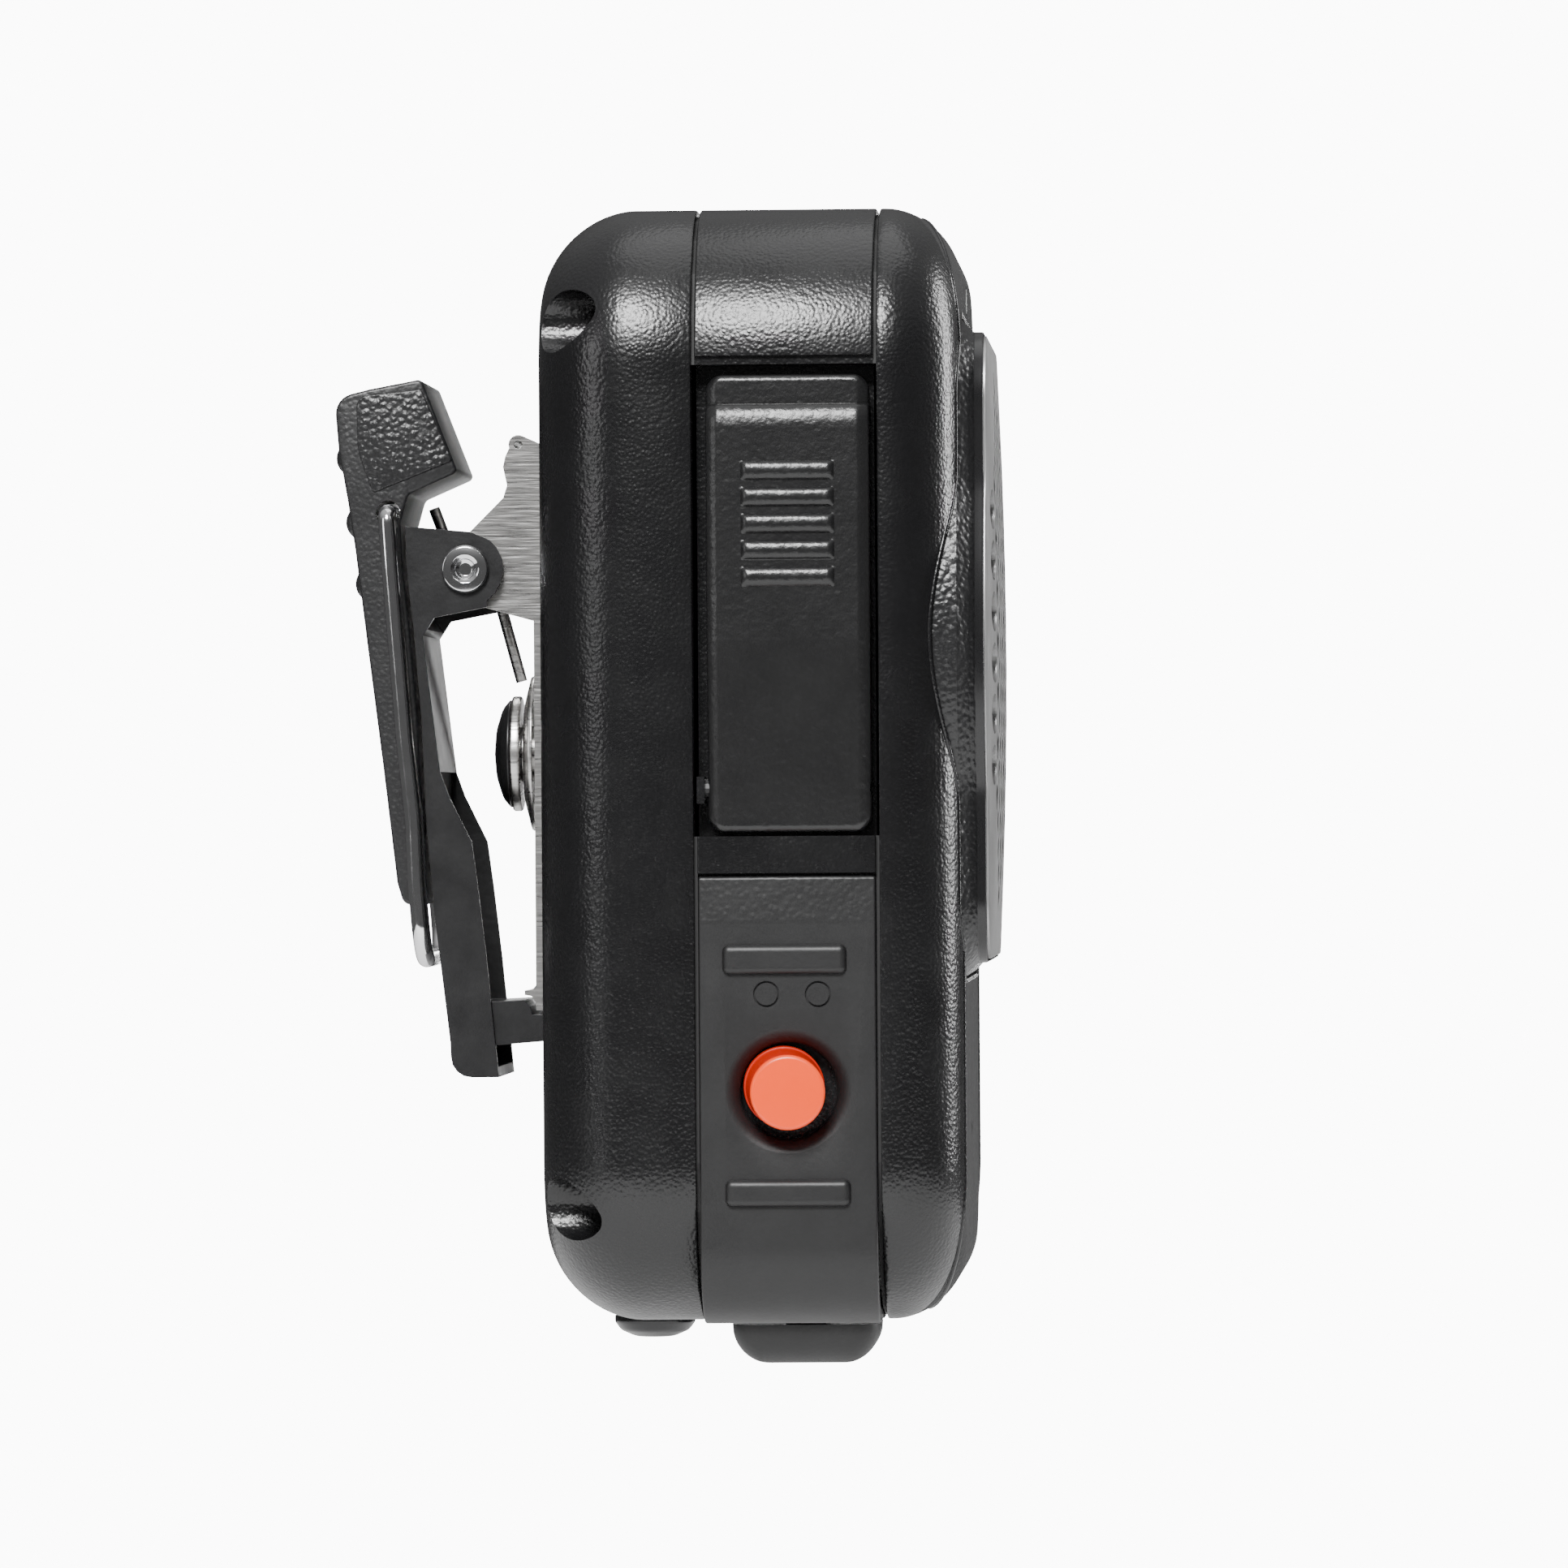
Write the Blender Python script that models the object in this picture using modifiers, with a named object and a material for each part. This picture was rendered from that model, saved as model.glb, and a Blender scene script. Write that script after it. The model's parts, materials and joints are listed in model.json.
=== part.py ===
"""Body-worn radio with a push-to-talk key and a swivelling spring clip.

All sizes below are in millimetres, in the body's own frame: X across the body (0 in the middle), Y from
front (-) to rear (+) with 0 in the middle of the side band, Z up from the body's underside. The finished
model is in metres and its origin is where the clip's jaw grips, on the outer face of the clip's plate.
"""

import math

import bmesh
import bpy
from mathutils import Matrix, Vector

MM = 0.001
GAP = 0.3  # clearance between neighbouring solids

# Body: three layers stacked from rear to front
BODY_HALF = 29.0
BODY_HEIGHT = 96.0
BODY_CORNER = 14.0
BAND_REAR = 7.55
BAND_FRONT = -7.65
SEAM = 0.3
SEAM_DEPTH = 0.55
REAR_FACE = 21.4
REAR_EDGE = 8.2
REAR_WALL = 2.0
FRONT_FACE = -14.9
FRONT_EDGE = 6.4
FRONT_WALL = 2.55
FRONT_SIDE_WALL = 3.4
PANEL_SKIN = 1.45
BAND_SIDE_WALL = 4.4
BAND_END_WALL = 2.4

# Screws in the four corner pockets
SCREW_X = BODY_HALF - 4.1
SCREW_Z = (10.0, BODY_HEIGHT - 10.0)
SCREW_SHANK = 1.0
SCREW_HOLE = SCREW_SHANK + GAP
SCREW_HEAD = 2.3
SCREW_HEAD_LENGTH = 1.7
SCREW_TIP = FRONT_FACE + 5.3
BOSS_WALL = 1.6
POCKET_RADIUS = 2.7
POCKET_FLOOR = REAR_FACE - 9.0

# Speaker bezel and grille
BEZEL_LOW = 29.5
BEZEL_HIGH = BODY_HEIGHT - 9.6
BEZEL_HALF = BODY_HALF - 5.0
BEZEL_CORNER = 7.0
BEZEL_RIM = 4.5
BULGE_RADIUS = BODY_HALF - 1.8
SPEAKER_Z = (BEZEL_LOW + BEZEL_HIGH) / 2 + 0.85
BEZEL_FACE = FRONT_FACE - 2.0
BEZEL_BACK = FRONT_FACE + 2.55
BEZEL_EDGE = 1.2
GRILLE_INSET = 1.6
GRILLE_RIM = BEZEL_FACE - 0.1
GRILLE_RISE = 0.9
GRILLE_SHEET = 0.6
GRILLE_HOLE = 1.75
GRILLE_PITCH = 4.4
SOUND_HOLE = 15.0
SPEAKER_RADIUS = 17.8
MAGNET_RADIUS = 8.5
MAGNET_LENGTH = 3.8
MIC_Z = 16.0
LIGHT_Z = BODY_HEIGHT - 7.3
LIGHT_RADIUS = 1.1

# Front panel outline
PANEL_HALF = BODY_HALF - 6.4
PANEL_CORNER = 10.5
PANEL_OVERRUN = 0.6

# Push-to-talk key
PTT_LOW = 42.15
PTT_HIGH = BODY_HEIGHT - 14.9
PTT_REAR = BAND_REAR - 0.95
PTT_FRONT = BAND_FRONT + 0.3
PTT_OUT = -BODY_HALF - 1.3
PTT_THICK = 2.6
PTT_WINDOW = (PTT_LOW - 0.35, PTT_HIGH + 0.9)
PTT_FLOOR = -BODY_HALF + 3.2
PTT_PIN_Z = PTT_LOW + 3.75
PTT_PIN_X = -BODY_HALF + 1.0
PTT_PIN_RADIUS = 0.8
PTT_SWITCH_Z = PTT_HIGH - 11.1
PTT_TRAVEL = 0.95
SWITCH_BUTTON = 0.75
RIB_PITCH = 2.26

# Rubber side keypad and emergency button
PAD_TOP = PTT_LOW - 3.75
PAD_END_X = -BODY_HALF + BODY_CORNER + 0.4
PAD_SKIN = 1.3
BUTTON_Y = -0.05
BUTTON_Z = 20.1
BUTTON_RADIUS = 3.2
BUTTON_FLANGE = BUTTON_RADIUS + 0.57
BUTTON_WELL = BUTTON_RADIUS + 1.44
BUTTON_STEM = 1.8
BUTTON_OUT = -BODY_HALF - 2.7
BUTTON_SEAT = -BODY_HALF + 0.65
BUTTON_TRAVEL = 0.6
SWITCH_HALF = 3.0
PAD_BARS = ((0.2, 31.3, 5.3, 1.27), (0.0, 11.4, 5.35, 1.15))
PAD_RINGS = ((1.76, 28.37), (-2.65, 28.34))
RING_RADIUS = 0.75

# Keys on the other side: name, height of the centre, half height
SIDE_KEYS = (("volume_up_key", BODY_HEIGHT * 21 / 32, BODY_HEIGHT * 5 / 96),
             ("volume_down_key", BODY_HEIGHT * 25 / 48, BODY_HEIGHT * 5 / 96),
             ("power_key", BODY_HEIGHT * 11 / 32, BODY_HEIGHT * 3 / 80))
KEY_HALF_DEPTH = 3.2
KEY_FLANGE = 0.9
KEY_INNER = BODY_HALF - BAND_SIDE_WALL + 0.6
KEY_OUT = BODY_HALF + 0.9
KEY_TRAVEL = 0.6

# Underside
PORT_Y = -0.34
PORT_HALF = (4.2, 1.75)
PORT_COVER_HALF = (5.6, 6.5)
PORT_COVER_LOW = -4.5
JACK_Y = BAND_REAR + 5.6
JACK_RADIUS = 3.55
JACK_STEM = 2.2
JACK_STEM_TOP = 3.4
JACK_DROP = 2.28

# Inside
BOARD = (4.0, 5.6)
BOARD_HALF = BODY_HALF - 8.0
BOARD_Z = (6.5, BODY_HEIGHT - 6.5)
POST_X = BOARD_HALF - 4.0
POST_Z = (12.0, BODY_HEIGHT - 10.4)
POST_RADIUS = 2.4
POST_HOLE = 1.1
BATTERY_HALF = BODY_HALF - 9.0
BATTERY_Y = (BOARD[1] + 3.2, REAR_FACE - REAR_WALL - 2.6)
BATTERY_Z = (17.0, BODY_HEIGHT - 16.4)

# Clip: swivel axis along Y, lever pivot and bail pivot along X
SWIVEL_Z = 49.2
SWIVEL_BOSS = 6.5
RIVET_SHANK = 2.4
RIVET_HEAD = 5.07
RIVET_HOLE = RIVET_SHANK + GAP
WASHER_RADIUS = 6.95
SHEET = 0.7
PLATE_INNER = REAR_FACE + 0.8
PLATE_OUTER = PLATE_INNER + SHEET
BRACKET_HALF = 8.1
PIVOT = (PLATE_OUTER + 5.85, 65.27)
PIN_RADIUS = 1.45
PIN_BORE = 0.9
LEVER_HALF = BRACKET_HALF + 1.2
LEVER_SHEET = 0.8
BAIL_PIVOT = (PLATE_OUTER + 12.6, 70.2)
BAIL_WIRE = 0.8
BAIL_HALF = LEVER_HALF + 1.1
SPRING_WIRE = 0.5
SPRING_RADIUS = PIN_RADIUS + 0.85

# The jaw grips on the plate's outer face: this point is the model's origin
ORIGIN = Vector((0.0, PLATE_OUTER, 27.4))


# ---------------------------------------------------------------- scene and helpers

for old in list(bpy.data.objects):
    bpy.data.objects.remove(old, do_unlink=True)

parts = bpy.data.collections.new("portable_radio")
cutters = bpy.data.collections.new("cutters")
bpy.context.scene.collection.children.link(parts)
bpy.context.scene.collection.children.link(cutters)


def material(name, colour, roughness, metallic=0.0):
    """One finish as a Principled BSDF."""
    finish = bpy.data.materials.new(name)
    finish.use_nodes = True
    shader = finish.node_tree.nodes["Principled BSDF"]
    shader.inputs["Base Color"].default_value = (*colour, 1.0)
    shader.inputs["Roughness"].default_value = roughness
    shader.inputs["Metallic"].default_value = metallic
    return finish


HOUSING = material("housing_plastic", (0.018, 0.018, 0.019), 0.55)
PANEL = material("panel_plastic", (0.012, 0.012, 0.013), 0.3)
KEY = material("key_plastic", (0.03, 0.03, 0.032), 0.45)
RUBBER = material("black_rubber", (0.025, 0.025, 0.027), 0.75)
ORANGE = material("orange_plastic", (1.0, 0.2, 0.03), 0.35)
STEEL = material("bright_steel", (0.72, 0.71, 0.69), 0.25, 1.0)
CHROME = material("chrome_wire", (0.8, 0.8, 0.82), 0.08, 1.0)
GRILLE = material("satin_grille", (0.6, 0.6, 0.6), 0.35, 1.0)
BLACK_STEEL = material("black_steel", (0.02, 0.02, 0.021), 0.4, 0.6)
CLOTH = material("grille_cloth", (0.01, 0.01, 0.01), 0.95)
BOARD_GREEN = material("board_green", (0.02, 0.12, 0.04), 0.5)
CELL = material("cell_wrap", (0.2, 0.22, 0.25), 0.5)
FOAM = material("foam", (0.06, 0.06, 0.06), 0.95)


def empty_at(name, point, parent=None):
    """An empty on a joint's axis, given in the body's frame."""
    axis = bpy.data.objects.new(name, None)
    parts.objects.link(axis)
    base = ORIGIN if parent is None else Vector(parent["point"])
    axis.location = (Vector(point) - base) * MM
    axis.parent = parent
    axis["point"] = tuple(point)
    return axis


radio = empty_at("radio", ORIGIN)
swivel = empty_at("clip_swivel_axis", (0, PLATE_INNER, SWIVEL_Z), radio)
lever_axis = empty_at("lever_axis", (0, *PIVOT), swivel)
bail_axis = empty_at("bail_axis", (0, *BAIL_PIVOT), lever_axis)
ptt_axis = empty_at("ptt_axis", (PTT_PIN_X, 0, PTT_PIN_Z), radio)
emergency_axis = empty_at("emergency_axis", (-BODY_HALF, BUTTON_Y, BUTTON_Z), radio)
port_axis = empty_at("port_cover_axis", (0, PORT_Y, 0), radio)
jack_axis = empty_at("jack_plug_axis", (0, JACK_Y, 0), radio)


def finish_object(name, mesh, finish, parent):
    """Puts a mesh made in millimetres into the scene: a part if it has a finish, and a cutter if not."""
    mesh.transform(Matrix.Scale(MM, 4))
    thing = bpy.data.objects.new(name, mesh)
    if finish is None:
        cutters.objects.link(thing)
        thing.hide_render = True
        thing.display_type = "WIRE"
        thing.location = -ORIGIN * MM
        return thing
    parts.objects.link(thing)
    mesh.materials.append(finish)
    parent = parent or radio
    thing.parent = parent
    thing.location = -Vector(parent["point"]) * MM
    return thing


def from_bmesh(name, bm, finish, parent=None, smooth=None):
    """Turns a bmesh into an object, shaded smooth below the given angle in degrees."""
    mesh = bpy.data.meshes.new(name)
    bm.normal_update()
    bm.to_mesh(mesh)
    bm.free()
    if smooth:
        mesh.shade_smooth()
        mesh.set_sharp_from_angle(angle=math.radians(smooth))
    return finish_object(name, mesh, finish, parent)


def box_bmesh(low, high):
    """A cube stretched between two corners."""
    bm = bmesh.new()
    bmesh.ops.create_cube(bm, size=1.0)
    low, high = Vector(low), Vector(high)
    bmesh.ops.scale(bm, vec=high - low, verts=bm.verts)
    bmesh.ops.translate(bm, vec=(low + high) / 2, verts=bm.verts)
    return bm


def block(name, low, high, finish=None, parent=None, edge=0.0):
    """A box, with every edge rounded by the given radius."""
    bm = box_bmesh(low, high)
    if edge:
        bmesh.ops.bevel(bm, geom=bm.edges[:], offset=edge, offset_type="OFFSET", segments=2, profile=0.5,
                        affect="EDGES")
    return from_bmesh(name, bm, finish, parent)


AXES = {"X": Matrix.Rotation(math.pi / 2, 4, "Y"), "Y": Matrix.Rotation(-math.pi / 2, 4, "X"),
        "Z": Matrix.Identity(4)}


def rod(name, centre, axis, radius, start, end, finish=None, parent=None, sides=16):
    """A cylinder along one axis, from start to end, through a centre given by its other two coordinates."""
    bm = bmesh.new()
    bmesh.ops.create_cone(bm, cap_ends=True, segments=sides, radius1=radius, radius2=radius, depth=end - start)
    bmesh.ops.transform(bm, matrix=AXES[axis], verts=bm.verts)
    middle = list(centre)
    middle.insert("XYZ".index(axis), (start + end) / 2)
    bmesh.ops.translate(bm, vec=middle, verts=bm.verts)
    return from_bmesh(name, bm, finish, parent, smooth=40)


def slab(name, half, low, high, corner, flat, face, edge=0.0, finish=None, parent=None):
    """A block with its four corners rounded as seen from the front, and its rim at the face rounded too."""
    bm = box_bmesh((-half, min(flat, face), low), (half, max(flat, face), high))
    upright = [e for e in bm.edges if abs(e.verts[0].co.y - e.verts[1].co.y) > 0.01]
    bmesh.ops.bevel(bm, geom=upright, offset=corner, offset_type="OFFSET", segments=5, profile=0.5,
                    affect="EDGES")
    if edge:
        rim = [e for e in bm.edges if all(abs(v.co.y - face) < 0.01 for v in e.verts)]
        bmesh.ops.bevel(bm, geom=rim, offset=edge, offset_type="OFFSET", segments=3, profile=0.5,
                        affect="EDGES")
    return from_bmesh(name, bm, finish, parent, smooth=30)


def inset_slab(name, by, flat, finish=None, front=True):
    """The body's outer form on one side of the seams, shrunk by a wall thickness."""
    face, edge = (FRONT_FACE + by, FRONT_EDGE) if front else (REAR_FACE - by, REAR_EDGE)
    return slab(name, BODY_HALF - by, by, BODY_HEIGHT - by, BODY_CORNER - by, flat, face, edge - by, finish)


def solid_from_curve(name, curve, matrix, finish=None, parent=None, smooth=None):
    """Makes a curve object a closed mesh in millimetres, turned and placed by the matrix."""
    drawn = bpy.data.objects.new(name, curve)
    bpy.context.scene.collection.objects.link(drawn)
    bpy.context.view_layer.update()
    mesh = bpy.data.meshes.new_from_object(drawn.evaluated_get(bpy.context.evaluated_depsgraph_get()))
    bpy.data.objects.remove(drawn)
    bpy.data.curves.remove(curve)
    mesh.transform(matrix)
    bm = bmesh.new()
    bm.from_mesh(mesh)
    bmesh.ops.remove_doubles(bm, verts=bm.verts, dist=0.001)
    bmesh.ops.recalc_face_normals(bm, faces=bm.faces)
    bpy.data.meshes.remove(mesh)
    return from_bmesh(name, bm, finish, parent, smooth)


def outline_solid(name, points, start, end, across="X", finish=None, parent=None, edge=0.0):
    """A flat outline given thickness: (y, z) points thickened along X, or (x, z) points along Y."""
    curve = bpy.data.curves.new(name, "CURVE")
    curve.dimensions = "2D"
    curve.fill_mode = "BOTH"
    curve.extrude = (end - start) / 2
    line = curve.splines.new("POLY")
    line.points.add(len(points) - 1)
    for point, (u, v) in zip(line.points, points):
        point.co = (u, v, 0, 1)
    line.use_cyclic_u = True
    middle = (start + end) / 2
    if across == "X":
        matrix = Matrix(((0, 0, 1, middle), (1, 0, 0, 0), (0, 1, 0, 0), (0, 0, 0, 1)))
    else:
        matrix = Matrix(((1, 0, 0, 0), (0, 0, -1, middle), (0, 1, 0, 0), (0, 0, 0, 1)))
    thing = solid_from_curve(name, curve, matrix, finish, parent, smooth=25)
    if edge:
        rounding = thing.modifiers.new("edge", "BEVEL")
        rounding.width = edge * MM
        rounding.segments = 2
        rounding.limit_method = "ANGLE"
        rounding.angle_limit = math.radians(60)
    return thing


def wire(name, points, radius, finish, parent=None, sides=2):
    """A round wire along a list of points, with filled ends."""
    curve = bpy.data.curves.new(name, "CURVE")
    curve.dimensions = "3D"
    curve.bevel_depth = radius
    curve.bevel_resolution = sides
    curve.use_fill_caps = True
    line = curve.splines.new("POLY")
    line.points.add(len(points) - 1)
    for point, place in zip(line.points, points):
        point.co = (*place, 1)
    return solid_from_curve(name, curve, Matrix.Identity(4), finish, parent, smooth=60)


def turned(name, centre, profile, finish=None, parent=None, axis="Y", steps=18):
    """A profile of (radius, position) points turned about an axis; a closed ring, or open with both ends
    on the axis. The points run so that the surface faces out."""
    bm = bmesh.new()
    closed = all(radius > 0.01 for radius, _ in profile)
    made = [bm.verts.new((radius, 0, along)) for radius, along in profile]
    pairs = list(zip(made, made[1:])) + ([(made[-1], made[0])] if closed else [])
    for pair in pairs:
        bm.edges.new(pair)
    bmesh.ops.spin(bm, geom=bm.verts[:] + bm.edges[:], cent=(0, 0, 0), axis=(0, 0, 1), dvec=(0, 0, 0),
                   angle=2 * math.pi, steps=steps, use_merge=True)
    bmesh.ops.remove_doubles(bm, verts=bm.verts, dist=0.001)
    bmesh.ops.recalc_face_normals(bm, faces=bm.faces)
    turn = {"X": Matrix(((0, 0, 1, 0), (1, 0, 0, 0), (0, 1, 0, 0), (0, 0, 0, 1))),
            "Y": Matrix(((0, 1, 0, 0), (0, 0, 1, 0), (1, 0, 0, 0), (0, 0, 0, 1))),
            "Z": Matrix.Identity(4)}[axis]
    bmesh.ops.transform(bm, matrix=turn, verts=bm.verts)
    middle = list(centre)
    middle.insert("XYZ".index(axis), 0.0)
    bmesh.ops.translate(bm, vec=middle, verts=bm.verts)
    return from_bmesh(name, bm, finish, parent, smooth=35)


def combine(target, operation, *others):
    """Adds one exact Boolean for each of the other objects."""
    for other in others:
        step = target.modifiers.new(operation.lower(), "BOOLEAN")
        step.operation = operation
        step.solver = "EXACT"
        step.object = other
    return target


def cut(target, *others):
    return combine(target, "DIFFERENCE", *others)


def join(target, *others):
    return combine(target, "UNION", *others)


def keep(target, *others):
    return combine(target, "INTERSECT", *others)


def arc(centre, radius, start, end, steps):
    """Points on an arc, angles in degrees."""
    return [(centre[0] + radius * math.cos(math.radians(start + (end - start) * i / steps)),
             centre[1] + radius * math.sin(math.radians(start + (end - start) * i / steps)))
            for i in range(steps + 1)]


def rounded(corners, steps=4):
    """A closed outline from (u, v, radius) corners, each rounded by its own radius."""
    points = []
    for i, (u, v, radius) in enumerate(corners):
        here = Vector((u, v))
        if radius <= 0:
            points.append((u, v))
            continue
        before = Vector(corners[i - 1][:2]) - here
        after = Vector(corners[(i + 1) % len(corners)][:2]) - here
        half = before.angle(after) / 2
        reach = min(radius / math.tan(half), 0.48 * before.length, 0.48 * after.length)
        centre = here + (before.normalized() + after.normalized()).normalized() * (reach / math.cos(half))
        first = here + before.normalized() * reach - centre
        last = here + after.normalized() * reach - centre
        turn = math.atan2(first.x * last.y - first.y * last.x, first.dot(last))
        for k in range(steps + 1):
            points.append(tuple(centre + Matrix.Rotation(turn * k / steps, 2) @ first))
    return points


SCREW_PLACES = [(side * SCREW_X, z) for z in SCREW_Z for side in (-1, 1)]
POST_PLACES = [(side * POST_X, z) for z in POST_Z for side in (-1, 1)]


def bosses(name, radius, start, end, sides=10):
    """Four cylinders around the housing screws, as cutters."""
    return [rod(f"{name}_{i}", place, "Y", radius, start, end, sides=sides)
            for i, place in enumerate(SCREW_PLACES, 1)]


def clip_points(points):
    """Clip outlines are drawn as (distance out from the plate, height). This puts them in the body's frame."""
    return [(PLATE_OUTER + out, z) for out, z in points]


# ---------------------------------------------------------------- rear housing

rear_flat = BAND_REAR + SEAM
rear_housing = inset_slab("rear_housing", 0.0, rear_flat, HOUSING, front=False)
rear_cavity = inset_slab("rear_cavity", REAR_WALL, rear_flat - 1, front=False)
cut(rear_cavity, *bosses("rear_boss", POCKET_RADIUS + 1.5, 0, 40, sides=12))
swivel_boss = rod("swivel_boss", (0, SWIVEL_Z), "Y", SWIVEL_BOSS, REAR_FACE - 1, PLATE_INNER - GAP, sides=24)
swivel_hole = rod("swivel_hole", (0, SWIVEL_Z), "Y", RIVET_HOLE, REAR_FACE - 6, PLATE_OUTER + 1)
cut(rear_housing, rear_cavity)
join(rear_housing, swivel_boss)
cut(rear_housing, swivel_hole, *bosses("pocket", POCKET_RADIUS, POCKET_FLOOR, 40, sides=16),
    *bosses("rear_screw_hole", SCREW_HOLE, 0, POCKET_FLOOR + 1),
    rod("jack_hole", (0, JACK_Y), "Z", JACK_STEM + GAP, -1, REAR_WALL + 1))

# ---------------------------------------------------------------- side band

mid_frame = slab("mid_frame", BODY_HALF, 0, BODY_HEIGHT, BODY_CORNER, BAND_FRONT, BAND_REAR, 0, HOUSING)
band_cavity = slab("band_cavity", BODY_HALF - BAND_SIDE_WALL, BAND_END_WALL, BODY_HEIGHT - BAND_END_WALL,
                   BODY_CORNER - BAND_SIDE_WALL, BAND_FRONT - 1, BAND_REAR + 1)
cut(band_cavity, *bosses("band_boss", SCREW_HOLE + BOSS_WALL, -20, 20))
ptt_window = block("ptt_window", (-BODY_HALF - 2, -20, PTT_WINDOW[0]), (PTT_FLOOR, 20, PTT_WINDOW[1]))
pad_recess = block("pad_recess", (-BODY_HALF - 2, -20, -2), (PAD_END_X + GAP, 20, PAD_TOP + GAP))
recess_core = slab("recess_core", BODY_HALF - PAD_SKIN - GAP, PAD_SKIN + GAP, BODY_HEIGHT,
                   BODY_CORNER - PAD_SKIN - GAP, -22, 22)
cut(pad_recess, recess_core)
rear_lug = block("rear_lug", (PTT_FLOOR - 3.4, PTT_REAR + GAP, PTT_PIN_Z - 1.3),
                 (PTT_FLOOR + 0.5, BAND_REAR, PTT_PIN_Z + 1.0))
front_lug_y = (PTT_FRONT + 1.75, PTT_FRONT + 3.15)
front_lug = block("front_lug", (PTT_FLOOR - 3.2, front_lug_y[0], PTT_PIN_Z - 1.5),
                  (PTT_FLOOR + 0.5, front_lug_y[1], PTT_PIN_Z + 1.5))
pin_hole = rod("pin_hole", (PTT_PIN_X, PTT_PIN_Z), "Y", PTT_PIN_RADIUS + GAP, BAND_FRONT - 1, BAND_REAR + 1,
               sides=12)
button_counterbore = rod("button_counterbore", (BUTTON_Y, BUTTON_Z), "X", BUTTON_FLANGE + 0.43, -BODY_HALF - 2,
                         BUTTON_SEAT + 2.05)
button_hole = rod("button_hole", (BUTTON_Y, BUTTON_Z), "X", BUTTON_STEM + 0.4, -BODY_HALF, -BODY_HALF + 9)
port_slot = block("port_slot", (-PORT_HALF[0] - GAP, PORT_Y - PORT_HALF[1] - GAP, -1),
                  (PORT_HALF[0] + GAP, PORT_Y + PORT_HALF[1] + GAP, BAND_END_WALL + 1))
cut(mid_frame, band_cavity, ptt_window, pad_recess)
join(mid_frame, rear_lug, front_lug)
cut(mid_frame, pin_hole, button_counterbore, button_hole, port_slot,
    *bosses("band_screw_hole", SCREW_HOLE, -20, 20))
for name, z, half in SIDE_KEYS:
    window = block(f"{name}_window", (BODY_HALF - 9, -KEY_HALF_DEPTH - GAP, z - half - GAP),
                   (BODY_HALF + 2, KEY_HALF_DEPTH + GAP, z + half + GAP))
    flange_reach = KEY_FLANGE + GAP
    flange_room = block(f"{name}_flange_room",
                        (BODY_HALF - 9, -KEY_HALF_DEPTH - flange_reach, z - half - flange_reach),
                        (KEY_INNER + 1.6, KEY_HALF_DEPTH + flange_reach, z + half + flange_reach))
    cut(mid_frame, window, flange_room)

# ---------------------------------------------------------------- front housing and panel


def bezel_outline(inset):
    """The speaker's frame from the front: a rounded rectangle widened by a round bulge at the speaker."""
    half, corner, bulge = BEZEL_HALF - inset, BEZEL_CORNER - inset, BULGE_RADIUS - inset
    low, high = BEZEL_LOW + inset, BEZEL_HIGH - inset
    reach = math.degrees(math.acos(half / bulge))
    right = arc((half - corner, low + corner), corner, -90, 0, 3)
    right += arc((0, SPEAKER_Z), bulge, -reach, reach, 5)
    right += arc((half - corner, high - corner), corner, 0, 90, 3)
    return right + [(-x, z) for x, z in reversed(right)]


def panel_outline(inset):
    """The front panel from the front; it runs past the body's ends, so the panel wraps over them."""
    half, low, high = PANEL_HALF - inset, -PANEL_OVERRUN, BODY_HEIGHT + PANEL_OVERRUN
    return rounded([(half, low, PANEL_CORNER), (half, high, PANEL_CORNER), (-half, high, PANEL_CORNER),
                    (-half, low, PANEL_CORNER)], 4)


front_flat = BAND_FRONT - SEAM
inner_face = FRONT_FACE + PANEL_SKIN + GAP + FRONT_WALL
front_housing = inset_slab("front_housing", 0.0, front_flat, HOUSING)
panel_room = outline_solid("panel_room", panel_outline(0), -40, 0, "Y")
cut(panel_room, inset_slab("panel_core", PANEL_SKIN + GAP, 2))
front_cavity = slab("front_cavity", BODY_HALF - FRONT_SIDE_WALL, FRONT_SIDE_WALL, BODY_HEIGHT - FRONT_SIDE_WALL,
                    BODY_CORNER - FRONT_SIDE_WALL, 0, inner_face, 2.2)
cut(front_cavity, *bosses("front_boss", SCREW_HOLE + BOSS_WALL, -30, 1))
bezel_room = outline_solid("bezel_room", bezel_outline(-GAP), -40, BEZEL_BACK + GAP, "Y")
sound_hole = rod("sound_hole", (0, SPEAKER_Z), "Y", SOUND_HOLE, -40, 0, sides=20)
mic_hole = rod("mic_hole", (0, MIC_Z), "Y", 0.7, -40, 0, sides=8)
light_hole = rod("light_hole", (0, LIGHT_Z), "Y", LIGHT_RADIUS + GAP, -40, 0, sides=12)
cut(front_housing, front_cavity)
join(front_housing, *[rod(f"post_{i}", place, "Y", POST_RADIUS, inner_face - 1.2, BOARD[0] - GAP, sides=10)
                      for i, place in enumerate(POST_PLACES, 1)])
cut(front_housing, panel_room, bezel_room, sound_hole, mic_hole, light_hole,
    *bosses("front_screw_hole", SCREW_HOLE, SCREW_TIP - GAP, 1),
    *[rod(f"post_hole_{i}", place, "Y", POST_HOLE, inner_face + 1, 8, sides=8)
      for i, place in enumerate(POST_PLACES, 1)])

panel_shape = outline_solid("panel_shape", panel_outline(GAP), -40, 0, "Y")
panel_back = inset_slab("panel_back", PANEL_SKIN, 2)
for name, low, high in (("lower_panel", -2, SPEAKER_Z), ("upper_panel", SPEAKER_Z, BODY_HEIGHT + 2)):
    panel = inset_slab(name, 0.0, front_flat, PANEL)
    keep(panel, panel_shape, block(f"{name}_zone", (-BODY_HALF, -40, low), (BODY_HALF, 0, high)))
    cut(panel, panel_back, bezel_room, mic_hole, light_hole)

# ---------------------------------------------------------------- speaker

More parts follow.
